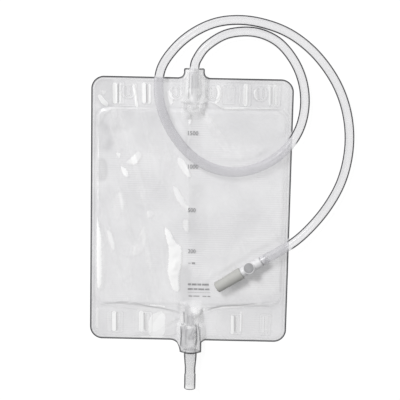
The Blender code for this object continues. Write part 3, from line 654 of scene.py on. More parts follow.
def roundedOutline(corners, arcStep):
    outline = []
    for i, (x, y, radius) in enumerate(corners):
        here = Vector((x, y))
        before = (Vector(corners[i - 1][:2]) - here).normalized()
        after = (Vector(corners[(i + 1) % len(corners)][:2]) - here).normalized()
        half = before.angle(after) / 2
        centre = here + (before + after).normalized() * radius / math.sin(half)
        start = here + before * radius / math.tan(half) - centre
        sweep = start.angle_signed(here + after * radius / math.tan(half) - centre)
        steps = max(3, round(abs(sweep) * radius / arcStep))
        for step in range(steps + 1):
            outline.append(tuple(centre + Matrix.Rotation(-sweep * step / steps, 2) @ start))
    dense = []
    for a, b in zip(outline, outline[1:] + outline[:1]):
        parts = max(1, round(math.dist(a, b) / (2 * arcStep)))
        for part in range(parts):
            share = part / parts
            dense.append((a[0] + (b[0] - a[0]) * share, a[1] + (b[1] - a[1]) * share))
    return dense


def filmOutline(plan, inlet, outlet):
    halfWidth = plan["width"] / 2
    halfHeight = plan["height"] / 2
    inletHalf = inlet["wing"] + inlet["tabMargin"]
    outletHalf = outlet["wing"] + outlet["tabMargin"]
    corner = plan["corner"]
    return roundedOutline((
        (-halfWidth, -halfHeight, corner),
        (outlet["x"] - outletHalf, -halfHeight, outlet["flare"]),
        (outlet["x"] - outletHalf, -outlet["mouth"], 0.00015),
        (outlet["x"] + outletHalf, -outlet["mouth"], 0.0006),
        (outlet["x"] + outletHalf, -halfHeight, 0.0006),
        (halfWidth, -halfHeight, corner),
        (halfWidth, halfHeight, corner),
        (inlet["x"] + inletHalf, halfHeight, inlet["flare"]),
        (inlet["x"] + inletHalf, inlet["mouth"], plan["tabCorner"]),
        (inlet["x"] - inletHalf, inlet["mouth"], plan["tabCorner"]),
        (inlet["x"] - inletHalf, halfHeight, inlet["flare"]),
        (-halfWidth, halfHeight, corner),
    ), plan["arcStep"])


def flapPlaces(plan):
    y = plan["height"] / 2 - plan["flapDrop"]
    offsets = sorted(sign * off for sign in (-1, 1) for off in plan["flapOffsets"])
    return [(plan["flapPatternX"] + off, y) for off in offsets]


def slitPlaces(plan):
    top = plan["height"] / 2 - plan["topSlitDrop"]
    bottom = -plan["height"] / 2 + plan["bottomSlitRise"]
    return [(x, top) for x in plan["topSlitX"]] + [(x, bottom) for x in plan["bottomSlitX"]]


def flapLoop(plan, x, y):
    # a U-shaped cut, open towards the bag's top
    legSteps, bendSteps = 12, 16
    high = y + plan["flapHeight"] / 2
    base = y - plan["flapHeight"] / 2 + plan["flapRadius"]
    loop = []
    for side in (1, -1):
        radius = plan["flapRadius"] + side * plan["slitWidth"] / 2
        for step in range(legSteps):
            loop.append((x - side * radius, high + (base - high) * step / legSteps))
        for step in range(bendSteps + 1):
            turn = math.pi * (1 + step / bendSteps)
            loop.append((x + side * radius * math.cos(turn), base + radius * math.sin(turn)))
        for step in range(1, legSteps + 1):
            loop.append((x + side * radius, base + (high - base) * step / legSteps))
    return loop


def slitLoop(plan, x, y):
    # a straight cut with round ends
    endSteps, sideSteps = 6, 24
    radius = plan["slitWidth"] / 2
    reach = plan["slitLength"] / 2 - radius
    loop = []
    for side in (1, -1):
        for step in range(endSteps + 1):
            turn = math.pi * (step / endSteps + (0 if side > 0 else 1))
            loop.append((x + radius * math.cos(turn), y + side * reach + radius * math.sin(turn)))
        for step in range(1, sideSteps):
            share = 1 - 2 * step / sideSteps
            loop.append((x - side * radius, y + side * reach * share))
    return loop


def punchedLoops(plan):
    flaps = [flapLoop(plan, x, y) for x, y in flapPlaces(plan)]
    return flaps + [slitLoop(plan, x, y) for x, y in slitPlaces(plan)]


def lensHeight(offset, radius, wing):
    circle = np.sqrt(np.maximum(radius * radius - offset * offset, 0.0))
    slope = (wing - offset) * radius / np.sqrt(np.maximum(wing * wing - radius * radius, 1e-12))
    height = np.where(offset <= radius * radius / wing, circle, slope)
    return np.where(offset >= wing, 0.0, height)


def portLift(x, y, port, plan, fall):
    # (height of the weld plane, half the opening between the films)
    rise = port["radius"] + clearance - plan["weldGap"] / 2
    bodyEnd = port["mouth"] - port["length"]
    spigotEnd = bodyEnd - port["spigotLength"]
    reach = port["side"] * y
    offset = np.abs(x - port["x"])
    share = 1.0 - smoothStep((spigotEnd - reach) / fall)
    body = smoothStep((reach - bodyEnd + plan["spigotStep"]) / plan["spigotStep"])
    spigotRadius = port["wrappedRadius"] + clearance
    radius = spigotRadius + (rise - spigotRadius) * body
    portWing = port["wing"] + clearance
    wing = 1.45 * spigotRadius + (portWing - 1.45 * spigotRadius) * body
    plane = rise * (1.0 - smoothStep((offset - wing) / plan["portSkirt"]))
    return plane * share, lensHeight(offset, radius, wing) * share


def chamberGap(x, y, plan):
    # signed distance to the chamber's edge, negative inside
    halfX = plan["width"] / 2 - plan["sideWeld"]
    top = plan["height"] / 2 - plan["topBand"]
    bottom = -plan["height"] / 2 + plan["bottomBand"]
    return rectGap(x, y - (top + bottom) / 2, halfX, (top - bottom) / 2, plan["chamberCorner"])


print("drainage bag: tube route")
tubeRoute = evenRoute(
    [drainTube["socket"], drainTube["mouth"], *drainTube["route"],
     connectorFrame @ Vector((0.0, 0.0, -drainTube["straightEnd"])),
     connectorFrame @ Vector((0.0, 0.0, -clearance))],
    drainTube["ringStep"],
)
bagEdge = filmOutline(bagPlan, inletPort, outletPort)


def buildTube(setup, route, edge):
    outer, inner = sweepRings(route, (setup["radius"], setup["boreRadius"]), setup["sides"])
    # the bore shows only round the connector's barb
    inner = [list(reversed(ring)) for ring in inner[-setup["boreRings"]:]]
    mesh = loftRings("drainTube", [outer, inner])
    flat = np.array([(point.x, point.y) for point in route])
    inside = insideLoop(flat[:, 0], flat[:, 1], edge)
    gap = alongLine(flat[:, 0], flat[:, 1], edge + edge[:1])[0] * np.where(inside, -1.0, 1.0)
    offBag = smoothStep((gap + 0.4 * setup["bagFade"]) / setup["bagFade"])
    inSocket = 1.0 * (np.arange(len(route)) * setup["ringStep"] < setup["mouth"][1] - setup["socket"][1])
    fromEnd = len(route) - 1.0 - np.arange(len(route))
    onBarb = smoothStep((setup["barbRings"] - fromEnd) / (setup["barbRings"] - 1.0))
    seam = np.maximum(1.0 - fromEnd, 0.0)
    for name, values in (("offBag", offBag), ("inSocket", inSocket), ("onBarb", onBarb), ("seam", seam)):
        both = np.concatenate([values, values[-setup["boreRings"]:]])
        addNumbers(mesh, name, np.repeat(both, setup["sides"]))
    places = np.array([tuple(point) for point in route])
    along = np.gradient(places, axis=0)
    along /= np.linalg.norm(along, axis=1)[:, None]
    both = np.repeat(np.concatenate([along, along[-setup["boreRings"]:]]), setup["sides"], axis=0)
    layer = mesh.attributes.new("along", "FLOAT_VECTOR", "POINT")
    layer.data.foreach_set("vector", both.astype(np.float32).ravel())
    tube = addPiece("drainTube", mesh, "bag", [outerWall(setup), boreWall(setup)])
    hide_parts("drain_tube")
    return tube


tubePiece = buildTube(drainTube, tubeRoute, bagEdge)
print("drainage bag: tube made,", len(tubeRoute), "rings")


def buildConnector(setup, place, sample):
    bodyEnd = setup["bodyLength"]
    tipEnd = bodyEnd + setup["tipLength"]
    drop = setup["stepDrop"]
    collar = setup["collarRadius"]
    profile = [(setup["boreRadius"], tipEnd), (setup["tipEnd"] - drop, tipEnd)]
    for step in range(setup["tipSteps"], 0, -1):
        share = step / setup["tipSteps"]
        narrow = setup["tipBase"] + (setup["tipEnd"] - setup["tipBase"]) * share
        wide = setup["tipBase"] + (setup["tipEnd"] - setup["tipBase"]) * (step - 1) / setup["tipSteps"]
        start = bodyEnd + setup["tipLength"] * (step - 1) / setup["tipSteps"]
        profile.append((narrow - drop, bodyEnd + setup["tipLength"] * share - drop))
        profile.append((wide, start + drop))
    profile += [
        (setup["radius"] - drop, bodyEnd),
        (setup["radius"], bodyEnd - drop),
        (setup["radius"], setup["collarLength"] + 2 * drop),
        (setup["radius"] + drop / 3, setup["collarLength"] + drop),
        (collar, setup["collarLength"]),
        (collar, drop),
        (collar - drop, 0.0),
        *setup["barb"],
    ]
    body = turnProfile("connectorBody", profile, place, setup["sides"])
    height = setup["bossHeight"]
    recess = height - setup["septumThickness"] - setup["septumInset"] - clearance
    seat = setup["septumRadius"] + clearance * 0.4
    boss = turnProfile("sampleBoss", [
        (0.0, recess), (seat, recess), (seat, height - 0.0001), (seat + 0.0001, height),
        (setup["bossRadius"] - drop, height), (setup["bossRadius"] - drop * 0.3, height - drop * 0.3),
        (setup["bossRadius"], height - drop), (setup["bossRadius"], 0.0),
    ], sample, setup["sides"])
    return joinMeshes("connectorBody", [body, boss])


def buildSeptum(setup, sample):
    top = setup["bossHeight"] - setup["septumInset"]
    low = top - setup["septumThickness"]
    profile = [(0.0, low), (setup["septumRadius"], low)]
    profile += [(radius, top + rise) for radius, rise in setup["septumFace"]]
    return turnProfile("sampleSeptum", profile, sample, setup["septumSides"])


capSetup = {
    "mouthRadius": 0.0063,
    "endRadius": 0.0056,
    "length": 0.0302,
    "wall": 0.0012,
    "endWall": 0.0018,
    "endRound": 0.0019,
    "rim": 0.0002,
    "sides": 72,
    "roundSteps": 6,
}


def buildCap(setup, body, place):
    mouth = body["bodyLength"] + clearance
    end = mouth + setup["length"]
    slope = (setup["mouthRadius"] - setup["endRadius"]) / setup["length"]
    innerEnd = end - setup["endWall"]
    inside = setup["mouthRadius"] - setup["wall"]
    rim = setup["rim"]
    profile = [
        (0.0, innerEnd), (inside - slope * (innerEnd - mouth), innerEnd), (inside, mouth + rim),
        (inside + rim, mouth), (setup["mouthRadius"] - rim, mouth), (setup["mouthRadius"], mouth + rim),
        (setup["endRadius"], end - setup["endRound"]),
    ]
    for step in range(1, setup["roundSteps"] + 1):
        turn = math.pi / 2 * step / setup["roundSteps"]
        profile.append((
            setup["endRadius"] - setup["endRound"] * (1.0 - math.cos(turn)),
            end - setup["endRound"] * (1.0 - math.sin(turn)),
        ))
    profile.append((0.0, end))
    return turnProfile("connectorCap", profile, place, setup["sides"])


# name, colour, its darker clouds, roughness, alpha, and the grain's scale and depth
whitePlastic = moulded("whitePlastic", (0.72, 0.72, 0.73), (0.68, 0.68, 0.69), 0.45).material
greyRubber = moulded(
    "greyRubber", (0.36, 0.36, 0.37), (0.31, 0.31, 0.32), 0.62, 1.0, 1500.0, 0.00004,
).material
warmPlastic = moulded(
    "warmPlastic", (0.47, 0.47, 0.45), (0.44, 0.44, 0.42), 0.68, 1.0, 1200.0, 0.00003,
).material

connectorMesh = buildConnector(connector, connectorFrame, sampleFrame)
connectorPiece = addPiece("connectorBody", connectorMesh, "bag", [whitePlastic], 30)
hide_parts("connector_body")
septumMesh = buildSeptum(connector, sampleFrame)
septumPiece = addPiece("sampleSeptum", septumMesh, "bag", [greyRubber], 40)
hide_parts("sample_septum")
capMesh = buildCap(capSetup, connector, connectorFrame)
capPiece = addPiece("connectorCap", capMesh, "cap", [warmPlastic], 30)
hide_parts("connector_cap")

print("drainage bag: connector and cap made")


pictureSide = 400.0

# Places are millimetres on the bag's plan, seen from the front
filmMarks = {
    # a row each: points, width, lift of the film, white of its painted highlight, dark of the painted shade
    # beside it
    "folds": (
        (((-93.9, 86.8), (-88.9, 98.1), (-80.9, 104.3), (-60, 104.4),
          (-42.6, 104.6)), 1.3, 0.25, 0.36, 0.1),
        (((13.7, 114.3), (23.9, 110.5), (32.0, 105.6), (60, 106.2), (86.5, 106.7),
          (96.8, 97.8)), 1.2, 0.2, 0.5, 0.12),
        (((-96.8, -99.5), (-75.1, -96.9), (-41.9, -100.0), (-26.3, -101.8),
          (-6.5, -108.3)), 1.1, 0.2, 0.55, 0.16),
        (((100.9, -92.1), (68.9, -97.1), (45.2, -99.2), (27.6, -101.7), (15.2, -103.6),
          (8.1, -110.1)), 1.1, 0.2, 0.55, 0.16),
        (((-26, -18), (-21, -30), (-17, -42), (-14.8, -55), (-17.5, -72)), 4.5, 0.7, 0.15, 0.0),
        (((-94.3, 84), (-94.5, 20), (-94.1, -10)), 0.8, 0.15, 0.75, 0.0),
        (((-4.2, 103.9), (-1.9, 89.7), (-3.6, 68.3), (-3, 37.6), (-1.9, -19.4)), 1.1, 0.15, 0.22, 0.0),
        (((8, 35), (9, 8), (7, -35)), 7.0, -0.2, 0.0, 0.05),
        (((8.8, 106.1), (24.4, 86.2), (44.2, 64.2), (55.7, 49.1)), 3.4, 0.3, 0.30, 0.0),
        (((-92, 60), (-78, 92)), 5.0, -0.2, 0.0, 0.08),
    ),
    # strap pads in the order of slitPlaces: painted highlight on the left lip, on the right lip, and painted
    # shade in the slit
    "pads": (
        (0.2, 0.35, 0.6), (0.2, 0.3, 0.6), (0.3, 0.3, 0.35), (0.3, 0.3, 0.45),
        (0.2, 0.35, 0.45), (0.3, 0.3, 0.6), (0.4, 0.3, 0.6), (0.3, 0.3, 0.4),
    ),
    # ring round each hook flap: heading of its arc of painted highlight, white
    "rings": ((330, 0.4), (205, 0.5), (5, 0.5), (200, 0.4)),
    # plain weld rectangles: centre, half width, half height, white of their painted highlight
    "frames": ((36.8, 119.4, 5.3, 8.5, 0.35), (-64.9, 117.7, 8.2, 10.9, 0.45)),
    "padHalf": (5.2, 10.6),  # half width and half height of the strap pads
    "slitEnd": 9.6,         # how far from a pad's middle the slit's lips reach
    "ringRadius": 6.6,      # of the bright weld round each hook flap
    "flapEnd": 5.6,         # how far from its middle the flap's cut is drawn
    "weldRelief": 0.12,     # how far weld frames stand proud
    "pressedTo": 0.0535,    # metres along the connector and cap that lie on the film
    "pressedHalf": 7.5,     # millimetres on each side that the tube presses flat
    "streakHighlight": 0.40,    # painted highlight streaks on the left of the pouch
    "waveLift": 0.22,       # slow unevenness of the pouch, and its fine creases
    "creaseLift": 0.18,
    "beadInset": 0.95,      # from the film's edge: its bead painted dark, its painted highlight seam, and two lines of painted shade
    "seamInset": 2.6,
    "seamHighlight": 0.45,
    "seamShades": ((3.8, 0.14), (5.0, 0.08)),
    # lines of painted shade where the ports lie under the film: points, width, white, dark
    "portLines": (
        (((-7.0, -145.9), (13.2, -145.9)), 0.8, 0.0, 0.8),
    ),
    "height": 0.002,      # of the film under the marks that follow
    # creases drawn with painted highlights and painted shade: points in the picture's 400 x 400 pixels,
    # width in mm, white, dark
    "creases": (
        (((115.6, 302.4), (122, 302), (129.1, 301.9)), 0.6, 0.0, 0.4),
        (((129, 303.2), (134.9, 303.2), (149.1, 306.6), (163.4, 308.8), (174.9, 311),
          (183.4, 315.5)), 0.6, 0.0, 0.36),
        (((149, 305), (158, 305.4), (166, 307)), 1.0, 0.8, 0.0),
        (((95, 305), (110, 306.2), (130, 308.3), (150, 309.5), (172, 314)), 0.9, 0.35, 0.1),
        (((164.9, 326.4), (172, 322), (180.6, 317.9)), 1.0, 0.5, 0.2),
        (((165, 336), (180, 333)), 0.8, 0.35, 0.1),
        (((205, 311.5), (212, 308.6), (221, 306.4), (240, 305.4), (258, 303)), 0.6, 0.0, 0.36),
        (((205, 313), (213, 310), (222, 308), (240, 307), (258, 305)), 0.9, 0.55, 0.0),
        (((206.7, 309.2), (228.3, 303.6), (246.7, 301.5)), 0.7, 0.3, 0.1),
        (((223, 108.4), (246, 107.6), (252, 106.8)), 0.8, 0.6, 0.0),
        (((197.5, 105), (206.7, 102.5), (215, 102.8), (221.7, 108.3), (240, 109.2),
          (278, 108.3)), 0.8, 0.55, 0.0),
        (((283.3, 108.3), (289.2, 115), (290.4, 127)), 0.8, 0.45, 0.0),
        (((99, 112), (108, 108.5), (125, 108.6), (152, 109)), 0.8, 0.28, 0.0),
        (((98.5, 126), (99, 114), (105, 108)), 0.9, 0.35, 0.0),
        (((119.9, 84), (120.2, 104)), 0.6, 0.45, 0.0),
        (((240, 84.5), (239.8, 105)), 0.6, 0.8, 0.0),
        (((278, 86), (278, 107)), 0.6, 0.35, 0.0),
        (((118, 83), (118, 104)), 0.5, 0.0, 0.5),
        (((146.6, 83), (146.6, 104)), 0.5, 0.0, 0.6),
        (((272.2, 86), (271.8, 105)), 1.0, 0.0, 0.22),
        (((117, 311), (117, 331)), 0.8, 0.0, 0.3),
        (((144.2, 312), (144.2, 331)), 0.6, 0.0, 0.5),
        (((234.6, 315), (234.6, 333)), 0.6, 0.0, 0.5),
        (((241, 311), (240.6, 333)), 0.7, 0.75, 0.0),
    ),
    # painted highlight strips beside welds: ends in the picture's pixels, width in mm, white
    "strips": (
        (((114.6, 85), (115.0, 101.5)), 5.0, 1.0),
        (((143.6, 84.5), (144.0, 101.5)), 4.2, 0.85),
        (((149.2, 85.5), (149.0, 102.5)), 3.2, 0.9),
        (((133.6, 86), (136.8, 106)), 2.8, 0.95),
        (((120.6, 93), (120.6, 103)), 2.8, 0.4),
        (((207.6, 91.2), (211.4, 90.9)), 2.6, 0.5),
        (((207.6, 97.0), (211.4, 96.7)), 2.8, 0.5),
        (((245.9, 85.5), (245.5, 104.5)), 4.0, 0.9),
        (((269.4, 85.5), (269.4, 104.5)), 2.4, 0.85),
        (((275.1, 85.5), (275.1, 104.5)), 3.0, 0.8),
        (((230.0, 87), (230.0, 97.5)), 5.6, 0.3),
        (((114.0, 313), (114.0, 329.5)), 4.2, 0.9),
        (((109.5, 313.5), (109.5, 329.5)), 4.6, 0.3),
        (((141.2, 313), (141.2, 330)), 4.4, 0.7),
        (((232.1, 317), (232.1, 333)), 2.8, 0.85),
        (((97.0, 309), (97.0, 327.5)), 2.8, 0.55),
    ),
    # patches of painted highlight and of painted shade: corners in the picture's pixels, white, dark, soft
    # edge in mm
    "facets": (
        (((164.4, 226.6), (168, 228.5), (171.6, 234), (174, 240.5), (177.4, 243.6), (181.4, 247),
          (181.6, 256), (180.8, 266),
          (179.4, 272.4), (178.6, 280), (179.4, 291), (173.5, 291), (171.5, 287), (169.4, 280),
          (167.4, 271),
          (168.4, 265.5), (168.8, 256), (168.6, 246), (165.6, 236)), 1.0, 0.0, 1.3),
        (((172, 240), (180, 248), (181, 268), (170, 276), (166, 262)), 0.3, 0.0, 5.0),
        (((178, 268), (192, 262), (192, 310), (180, 306)), 0.0, 0.12, 4.0),
        (((174, 289), (179, 289), (176.8, 295), (181, 302), (185, 308), (183.4, 311), (177.7, 307),
          (174, 299)), 0.3, 0.0, 1.8),
        (((192.5, 314.6), (199, 309.2), (207.2, 308), (197.5, 317.5)), 0.9, 0.0, 1.2),
        (((177.6, 156), (183.4, 159), (187.6, 167), (191.2, 177), (187.3, 177), (183, 172),
          (177.8, 164)), 0.85, 0.0, 1.4),
        (((172, 186), (177.7, 187.6), (182, 195.7), (185.8, 203), (189.4, 207), (188, 212.4),
          (181.6, 206), (176, 199)), 0.75, 0.0, 1.6),
        (((183, 220), (188.6, 219), (188.6, 232.4), (184.6, 231), (183, 226)), 0.7, 0.0, 1.6),
        (((126, 162.4), (133, 155.4), (139, 150.4), (142.6, 155.7), (135.4, 165),
          (128, 164)), 0.7, 0.0, 1.8),
        (((120.6, 165.4), (127.6, 169.6), (128.8, 177.4), (124, 176), (121.4, 170.6)), 0.85, 0.0, 1.2),
        (((115.3, 151.9), (121.4, 153.2), (118.6, 159.4)), 0.7, 0.0, 1.4),
        (((112.4, 197), (120.6, 191), (124.7, 205), (118.7, 221), (112.4, 216)), 0.42, 0.0, 4.0),
        (((146, 212), (150.6, 209), (154.4, 213), (151.8, 218), (147.6, 216.7)), 0.5, 0.0, 2.4),
        (((130.4, 256), (137.4, 238.6), (143.4, 224), (147.8, 233), (142.5, 254)), 0.42, 0.0, 3.0),
        (((96.8, 214), (99.2, 226), (101.4, 240), (101.4, 282), (99.5, 289), (97, 287),
          (96.4, 259)), 0.95, 0.0, 1.2),
        (((97, 220), (104, 236), (105, 262), (104, 288), (98, 290)), 0.55, 0.0, 5.0),
        (((106.7, 228), (113.4, 235), (115.8, 249.6), (112.2, 250), (108.4, 239)), 0.42, 0.0, 1.8),
        (((126, 262), (132, 244), (136, 244), (134.4, 262), (131, 290), (125, 290)), 0.22, 0.0, 2.4),
        (((148.6, 315.6), (165, 310), (165, 338.6), (148.6, 338.6)), 0.42, 0.0, 1.0),
        (((150, 332), (158, 318), (164.6, 312), (164.8, 323), (158, 330)), 0.6, 0.0, 4.0),
        (((97.0, 95.0), (100.5, 94.5), (104.5, 99), (108.0, 103), (107.6, 106.6), (103.5, 105.6),
          (98.5, 99)), 1.3, 0.0, 0.9),
        (((101, 90), (107, 91), (103.4, 96)), 0.6, 0.0, 1.4),
        (((166.8, 90), (171.2, 91), (174, 102), (170, 106), (167.6, 98)), 0.85, 0.0, 1.2),
        (((188.8, 112.3), (192.2, 114), (191.2, 123.5), (188.2, 125)), 0.8, 0.0, 1.2),
        (((110.7, 109), (117.4, 109), (116.8, 119), (111.8, 118)), 0.4, 0.0, 2.0),
        (((109, 118), (118.3, 124), (126, 147), (118.3, 152), (110, 135)), 0.25, 0.0, 4.0),
        (((97.3, 116), (110, 124), (114, 148), (102, 153), (97.3, 140)), 0.0, 0.08, 5.0),
        (((215.6, 84), (220.2, 85.8), (222, 93.3), (219.6, 101.6), (214.6, 104), (218, 94)), 1.0, 0.0, 1.1),
        (((252.8, 90), (256, 90), (259, 99), (255.6, 99.5)), 0.55, 0.0, 1.2),
        (((199, 106.3), (206.7, 111.3), (233.7, 152), (222.3, 152), (201, 115)), 0.34, 0.0, 3.0),
        (((193, 153), (215, 157), (235, 150), (268, 148), (251.7, 165), (218.3, 168.7)), 0.32, 0.0, 5.0),
        (((163, 157), (170, 148), (174, 165), (169, 190), (159, 182)), 0.28, 0.0, 4.0),
        (((148, 143), (160, 148), (160, 187), (149, 192)), 0.2, 0.0, 4.0),
        (((150, 225), (164, 228), (166, 262), (156, 292), (146, 262)), 0.18, 0.0, 7.0),
        (((189.4, 186), (206, 182), (208, 252), (189.8, 252)), 0.0, 0.05, 2.4),
        (((122, 195), (140, 188), (150, 240), (126, 247)), 0.0, 0.06, 5.0),
        (((94, 78), (116, 79), (116, 107), (96, 107)), 0.0, 0.15, 4.0),
        (((122, 78), (150, 78), (150, 106), (122, 106)), 0.10, 0.0, 4.0),
        (((94, 104), (134, 104), (134, 132), (94, 132)), 0.0, 0.10, 7.0),
        (((134, 108), (176, 108), (176, 160), (134, 150)), 0.0, 0.06, 8.0),
        (((222, 76), (292, 76), (292, 146), (206, 146)), 0.0, 0.06, 8.0),
        (((228, 240), (286, 232), (286, 296), (228, 296)), 0.28, 0.0, 8.0),
        (((97, 158), (107, 158), (108, 180), (97, 182)), 0.0, 0.20, 3.0),
        (((205, 215), (262, 205), (286, 250), (284, 300), (225, 300)), 0.24, 0.0, 9.0),
        (((94, 300), (176, 309), (176, 340), (98, 338)), 0.14, 0.0, 4.0),
        (((134, 303), (176, 309), (176, 340), (134, 340)), 0.32, 0.0, 5.0),
        (((218, 302), (272, 300), (272, 338), (214, 338)), 0.32, 0.0, 5.0),
    ),
}

# the same painted highlights and painted shade for the parts of the film that stand over the ports
portMarks = {
    "height": 0.0130,
    "creases": (
        (((189.7, 72), (189.0, 84), (188.7, 92), (188.6, 99.6)), 0.55, 0.0, 0.5),
        (((190.3, 74), (190.2, 97)), 0.5, 0.35, 0.0),
        (((192.0, 73), (191.9, 84), (191.7, 97)), 0.7, 0.0, 0.3),
        (((182.6, 75), (182.8, 88), (182.6, 97)), 0.6, 0.0, 0.16),
        (((182.6, 99.2), (188.0, 99.2)), 0.5, 0.22, 0.0),
        (((200.6, 74), (200.9, 99)), 1.4, 0.0, 0.05),
        (((186.0, 103.6), (193.0, 103.8)), 1.5, 0.0, 0.2),
        (((180.7, 326.5), (181.2, 338), (180.7, 343), (180.4, 348.5)), 0.55, 0.0, 0.75),
        (((194.9, 324), (193.2, 329), (190.7, 334), (188.8, 338), (187.7, 343),
          (187.2, 348.5)), 0.7, 0.0, 0.3),
        (((195.6, 324), (196.5, 330), (196.7, 336), (196.7, 341), (195.2, 348)), 0.6, 0.0, 0.95),
        (((197.6, 324), (198.8, 329), (199.7, 334), (199.9, 340), (200.7, 346)), 0.6, 0.0, 0.75),
        (((194.6, 327), (193.8, 333)), 0.8, 0.35, 0.0),
        (((191.6, 327), (191.2, 347)), 2.2, 0.30, 0.0),
        (((180.6, 325.6), (184.4, 325.4)), 0.6, 0.0, 0.6),
        (((183.6, 312.5), (184.3, 325)), 0.6, 0.0, 0.5),
        (((187.7, 314), (187.5, 325)), 0.8, 0.0, 0.22),
    ),
    "strips": (
        (((185.5, 73.5), (184.9, 97.5)), 4.0, 0.34),
        (((181.3, 318), (181.3, 325)), 3.0, 0.85),
        (((185.8, 313), (186.0, 323.5)), 1.4, 0.30),
    ),
    "facets": (
        (((191.6, 69), (201.6, 69), (202.4, 100), (191.4, 102)), 0.0, 0.22, 1.2),
        (((196.5, 95), (202.0, 95), (201.0, 105), (196.5, 106)), 0.0, 0.12, 2.0),
        (((185.6, 93), (191.0, 93), (191.0, 102), (185.6, 102)), 0.0, 0.22, 1.2),
        (((182.5, 101), (199, 101), (199, 112), (182.5, 112)), 0.0, 0.20, 2.4),
        (((181.2, 326.4), (187.6, 326.4), (186.6, 349.8), (179.8, 350.0)), 0.0, 0.30, 0.9),
        (((181.2, 325.4), (187.6, 325.4), (187.2, 334.0), (181.0, 334.0)), 0.0, 0.12, 0.9),
        (((183.4, 311), (192.6, 310.5), (194.6, 326), (183.8, 326)), 0.0, 0.34, 1.6),
        (((176, 307), (190, 306), (190, 314), (178, 316)), 0.0, 0.20, 3.0),
        (((194.0, 316), (203.0, 314), (203.0, 323), (195.0, 324)), 0.0, 0.14, 2.4),
    ),
}


def planPoints(plan, edge, loops):
    fine, body = plan["fineGrid"], plan["bodyGrid"]
    low = min(y for _, y in edge)
    high = max(y for _, y in edge)
    half, bodyHalf = plan["width"] / 2, plan["bodyHalf"]
    top = plan["height"] / 2 - plan["topBand"] - plan["fineReach"]
    bottom = -plan["height"] / 2 + plan["bottomBand"] + plan["fineReach"]

    def grid(x0, x1, y0, y1, step):
        across = np.arange(x0, x1, step)
        up = np.arange(y0, y1, step)
        gx, gy = np.meshgrid(across, up)
        gx = gx + (np.arange(len(up)) % 2)[:, None] * step / 2
        return gx.ravel(), gy.ravel()

    def clearOfEdge(x, y, gap):
        return insideLoop(x, y, edge) & (alongLine(x, y, edge + edge[:1])[0] > gap)

    x, y = np.concatenate([
        grid(-half, half, top, high, fine), grid(-half, half, low, bottom, fine),
        grid(-half, -bodyHalf, bottom, top, fine), grid(bodyHalf, half, bottom, top, fine),
        grid(-bodyHalf, bodyHalf, bottom, top, body),
    ], axis=1)
    keep = clearOfEdge(x, y, plan["edgeClear"])
    for loop in loops:
        near = alongLine(x, y, loop + loop[:1])[0] < plan["cutClear"]
        keep &= ~(near | insideLoop(x, y, loop))
    rims = []
    for inset in plan["edgeRows"]:
        for (ax, ay), (bx, by) in zip(edge, edge[1:] + edge[:1]):
            run = math.dist((ax, ay), (bx, by))
            rims.append(((ax + bx) / 2 - (by - ay) / run * inset, (ay + by) / 2 + (bx - ax) / run * inset))
    rimX, rimY = np.array(rims).T
    good = clearOfEdge(rimX, rimY, plan["cutClear"])
    return np.concatenate([x[keep], rimX[good]]), np.concatenate([y[keep], rimY[good]])


def planMesh(plan, edge):
    loops = punchedLoops(plan)
    x, y = planPoints(plan, edge, loops)
    points = []
    ties = []
    for loop in [edge, *loops]:
        start = len(points)
        points.extend(loop)
        ties.extend((start + i, start + (i + 1) % len(loop)) for i in range(len(loop)))
    points.extend(zip(x.tolist(), y.tolist()))
    verts, _, faces, _, _, _ = delaunay_2d_cdt([Vector(p) for p in points], ties, [], 1, 1e-9)
    flat = np.array([tuple(vert) for vert in verts])
    triangles = np.array([face[:3] for face in faces])
    middle = flat[triangles].mean(axis=1)
    keep = insideLoop(middle[:, 0], middle[:, 1], edge)
    for loop in loops:
        keep &= ~insideLoop(middle[:, 0], middle[:, 1], loop)
    triangles = triangles[keep]
    used, triangles = np.unique(triangles, return_inverse=True)
    flat = flat[used]
    triangles = triangles.reshape(-1, 3)
    a, b, c = flat[triangles[:, 0]], flat[triangles[:, 1]], flat[triangles[:, 2]]
    area = (b[:, 0] - a[:, 0]) * (c[:, 1] - a[:, 1]) - (b[:, 1] - a[:, 1]) * (c[:, 0] - a[:, 0])
    triangles[area < 0] = triangles[area < 0][:, ::-1]
    return flat, triangles


def onFilm(px, py, height):
    # where a point of the picture meets the film, in millimetres
    camera = bpy.context.scene.camera
    lens = camera.data
    reach = lens.sensor_width / lens.lens / pictureSide
    middle = pictureSide / 2
    ray = camera.matrix_world.to_3x3() @ Vector(((px - middle) * reach, (middle - py) * reach, -1.0))
    start = camera.matrix_world.translation
    point = start + ray * ((height - start.z) / ray.z)
    return point.x * 1000.0, point.y * 1000.0


def roundedLoop(corners):
    # cuts every corner off, which leaves a smoother patch
    most, least = 0.78, 0.22
    cut = []
    for (ax, ay), (bx, by) in zip(corners, corners[1:] + corners[:1]):
        cut.append((most * ax + least * bx, most * ay + least * by))
        cut.append((least * ax + most * bx, least * ay + most * by))
    return cut


def paintLines(x, y, rows, fade, white, dark):
    # a soft line of painted highlight and painted shade along each row's points, faded at its ends; gives
    # back what each one covers
    covers = []
    for points, width, whiteness, darkness in rows:
        gap, _, share = alongLine(x, y, points)
        ends = smoothStep(share / fade) * smoothStep((1.0 - share) / fade)
        white += whiteness * bell(gap, width) * ends
        dark += darkness * bell(gap, width) * ends
        covers.append(bell(gap, width * 1.5) * ends)
    return covers


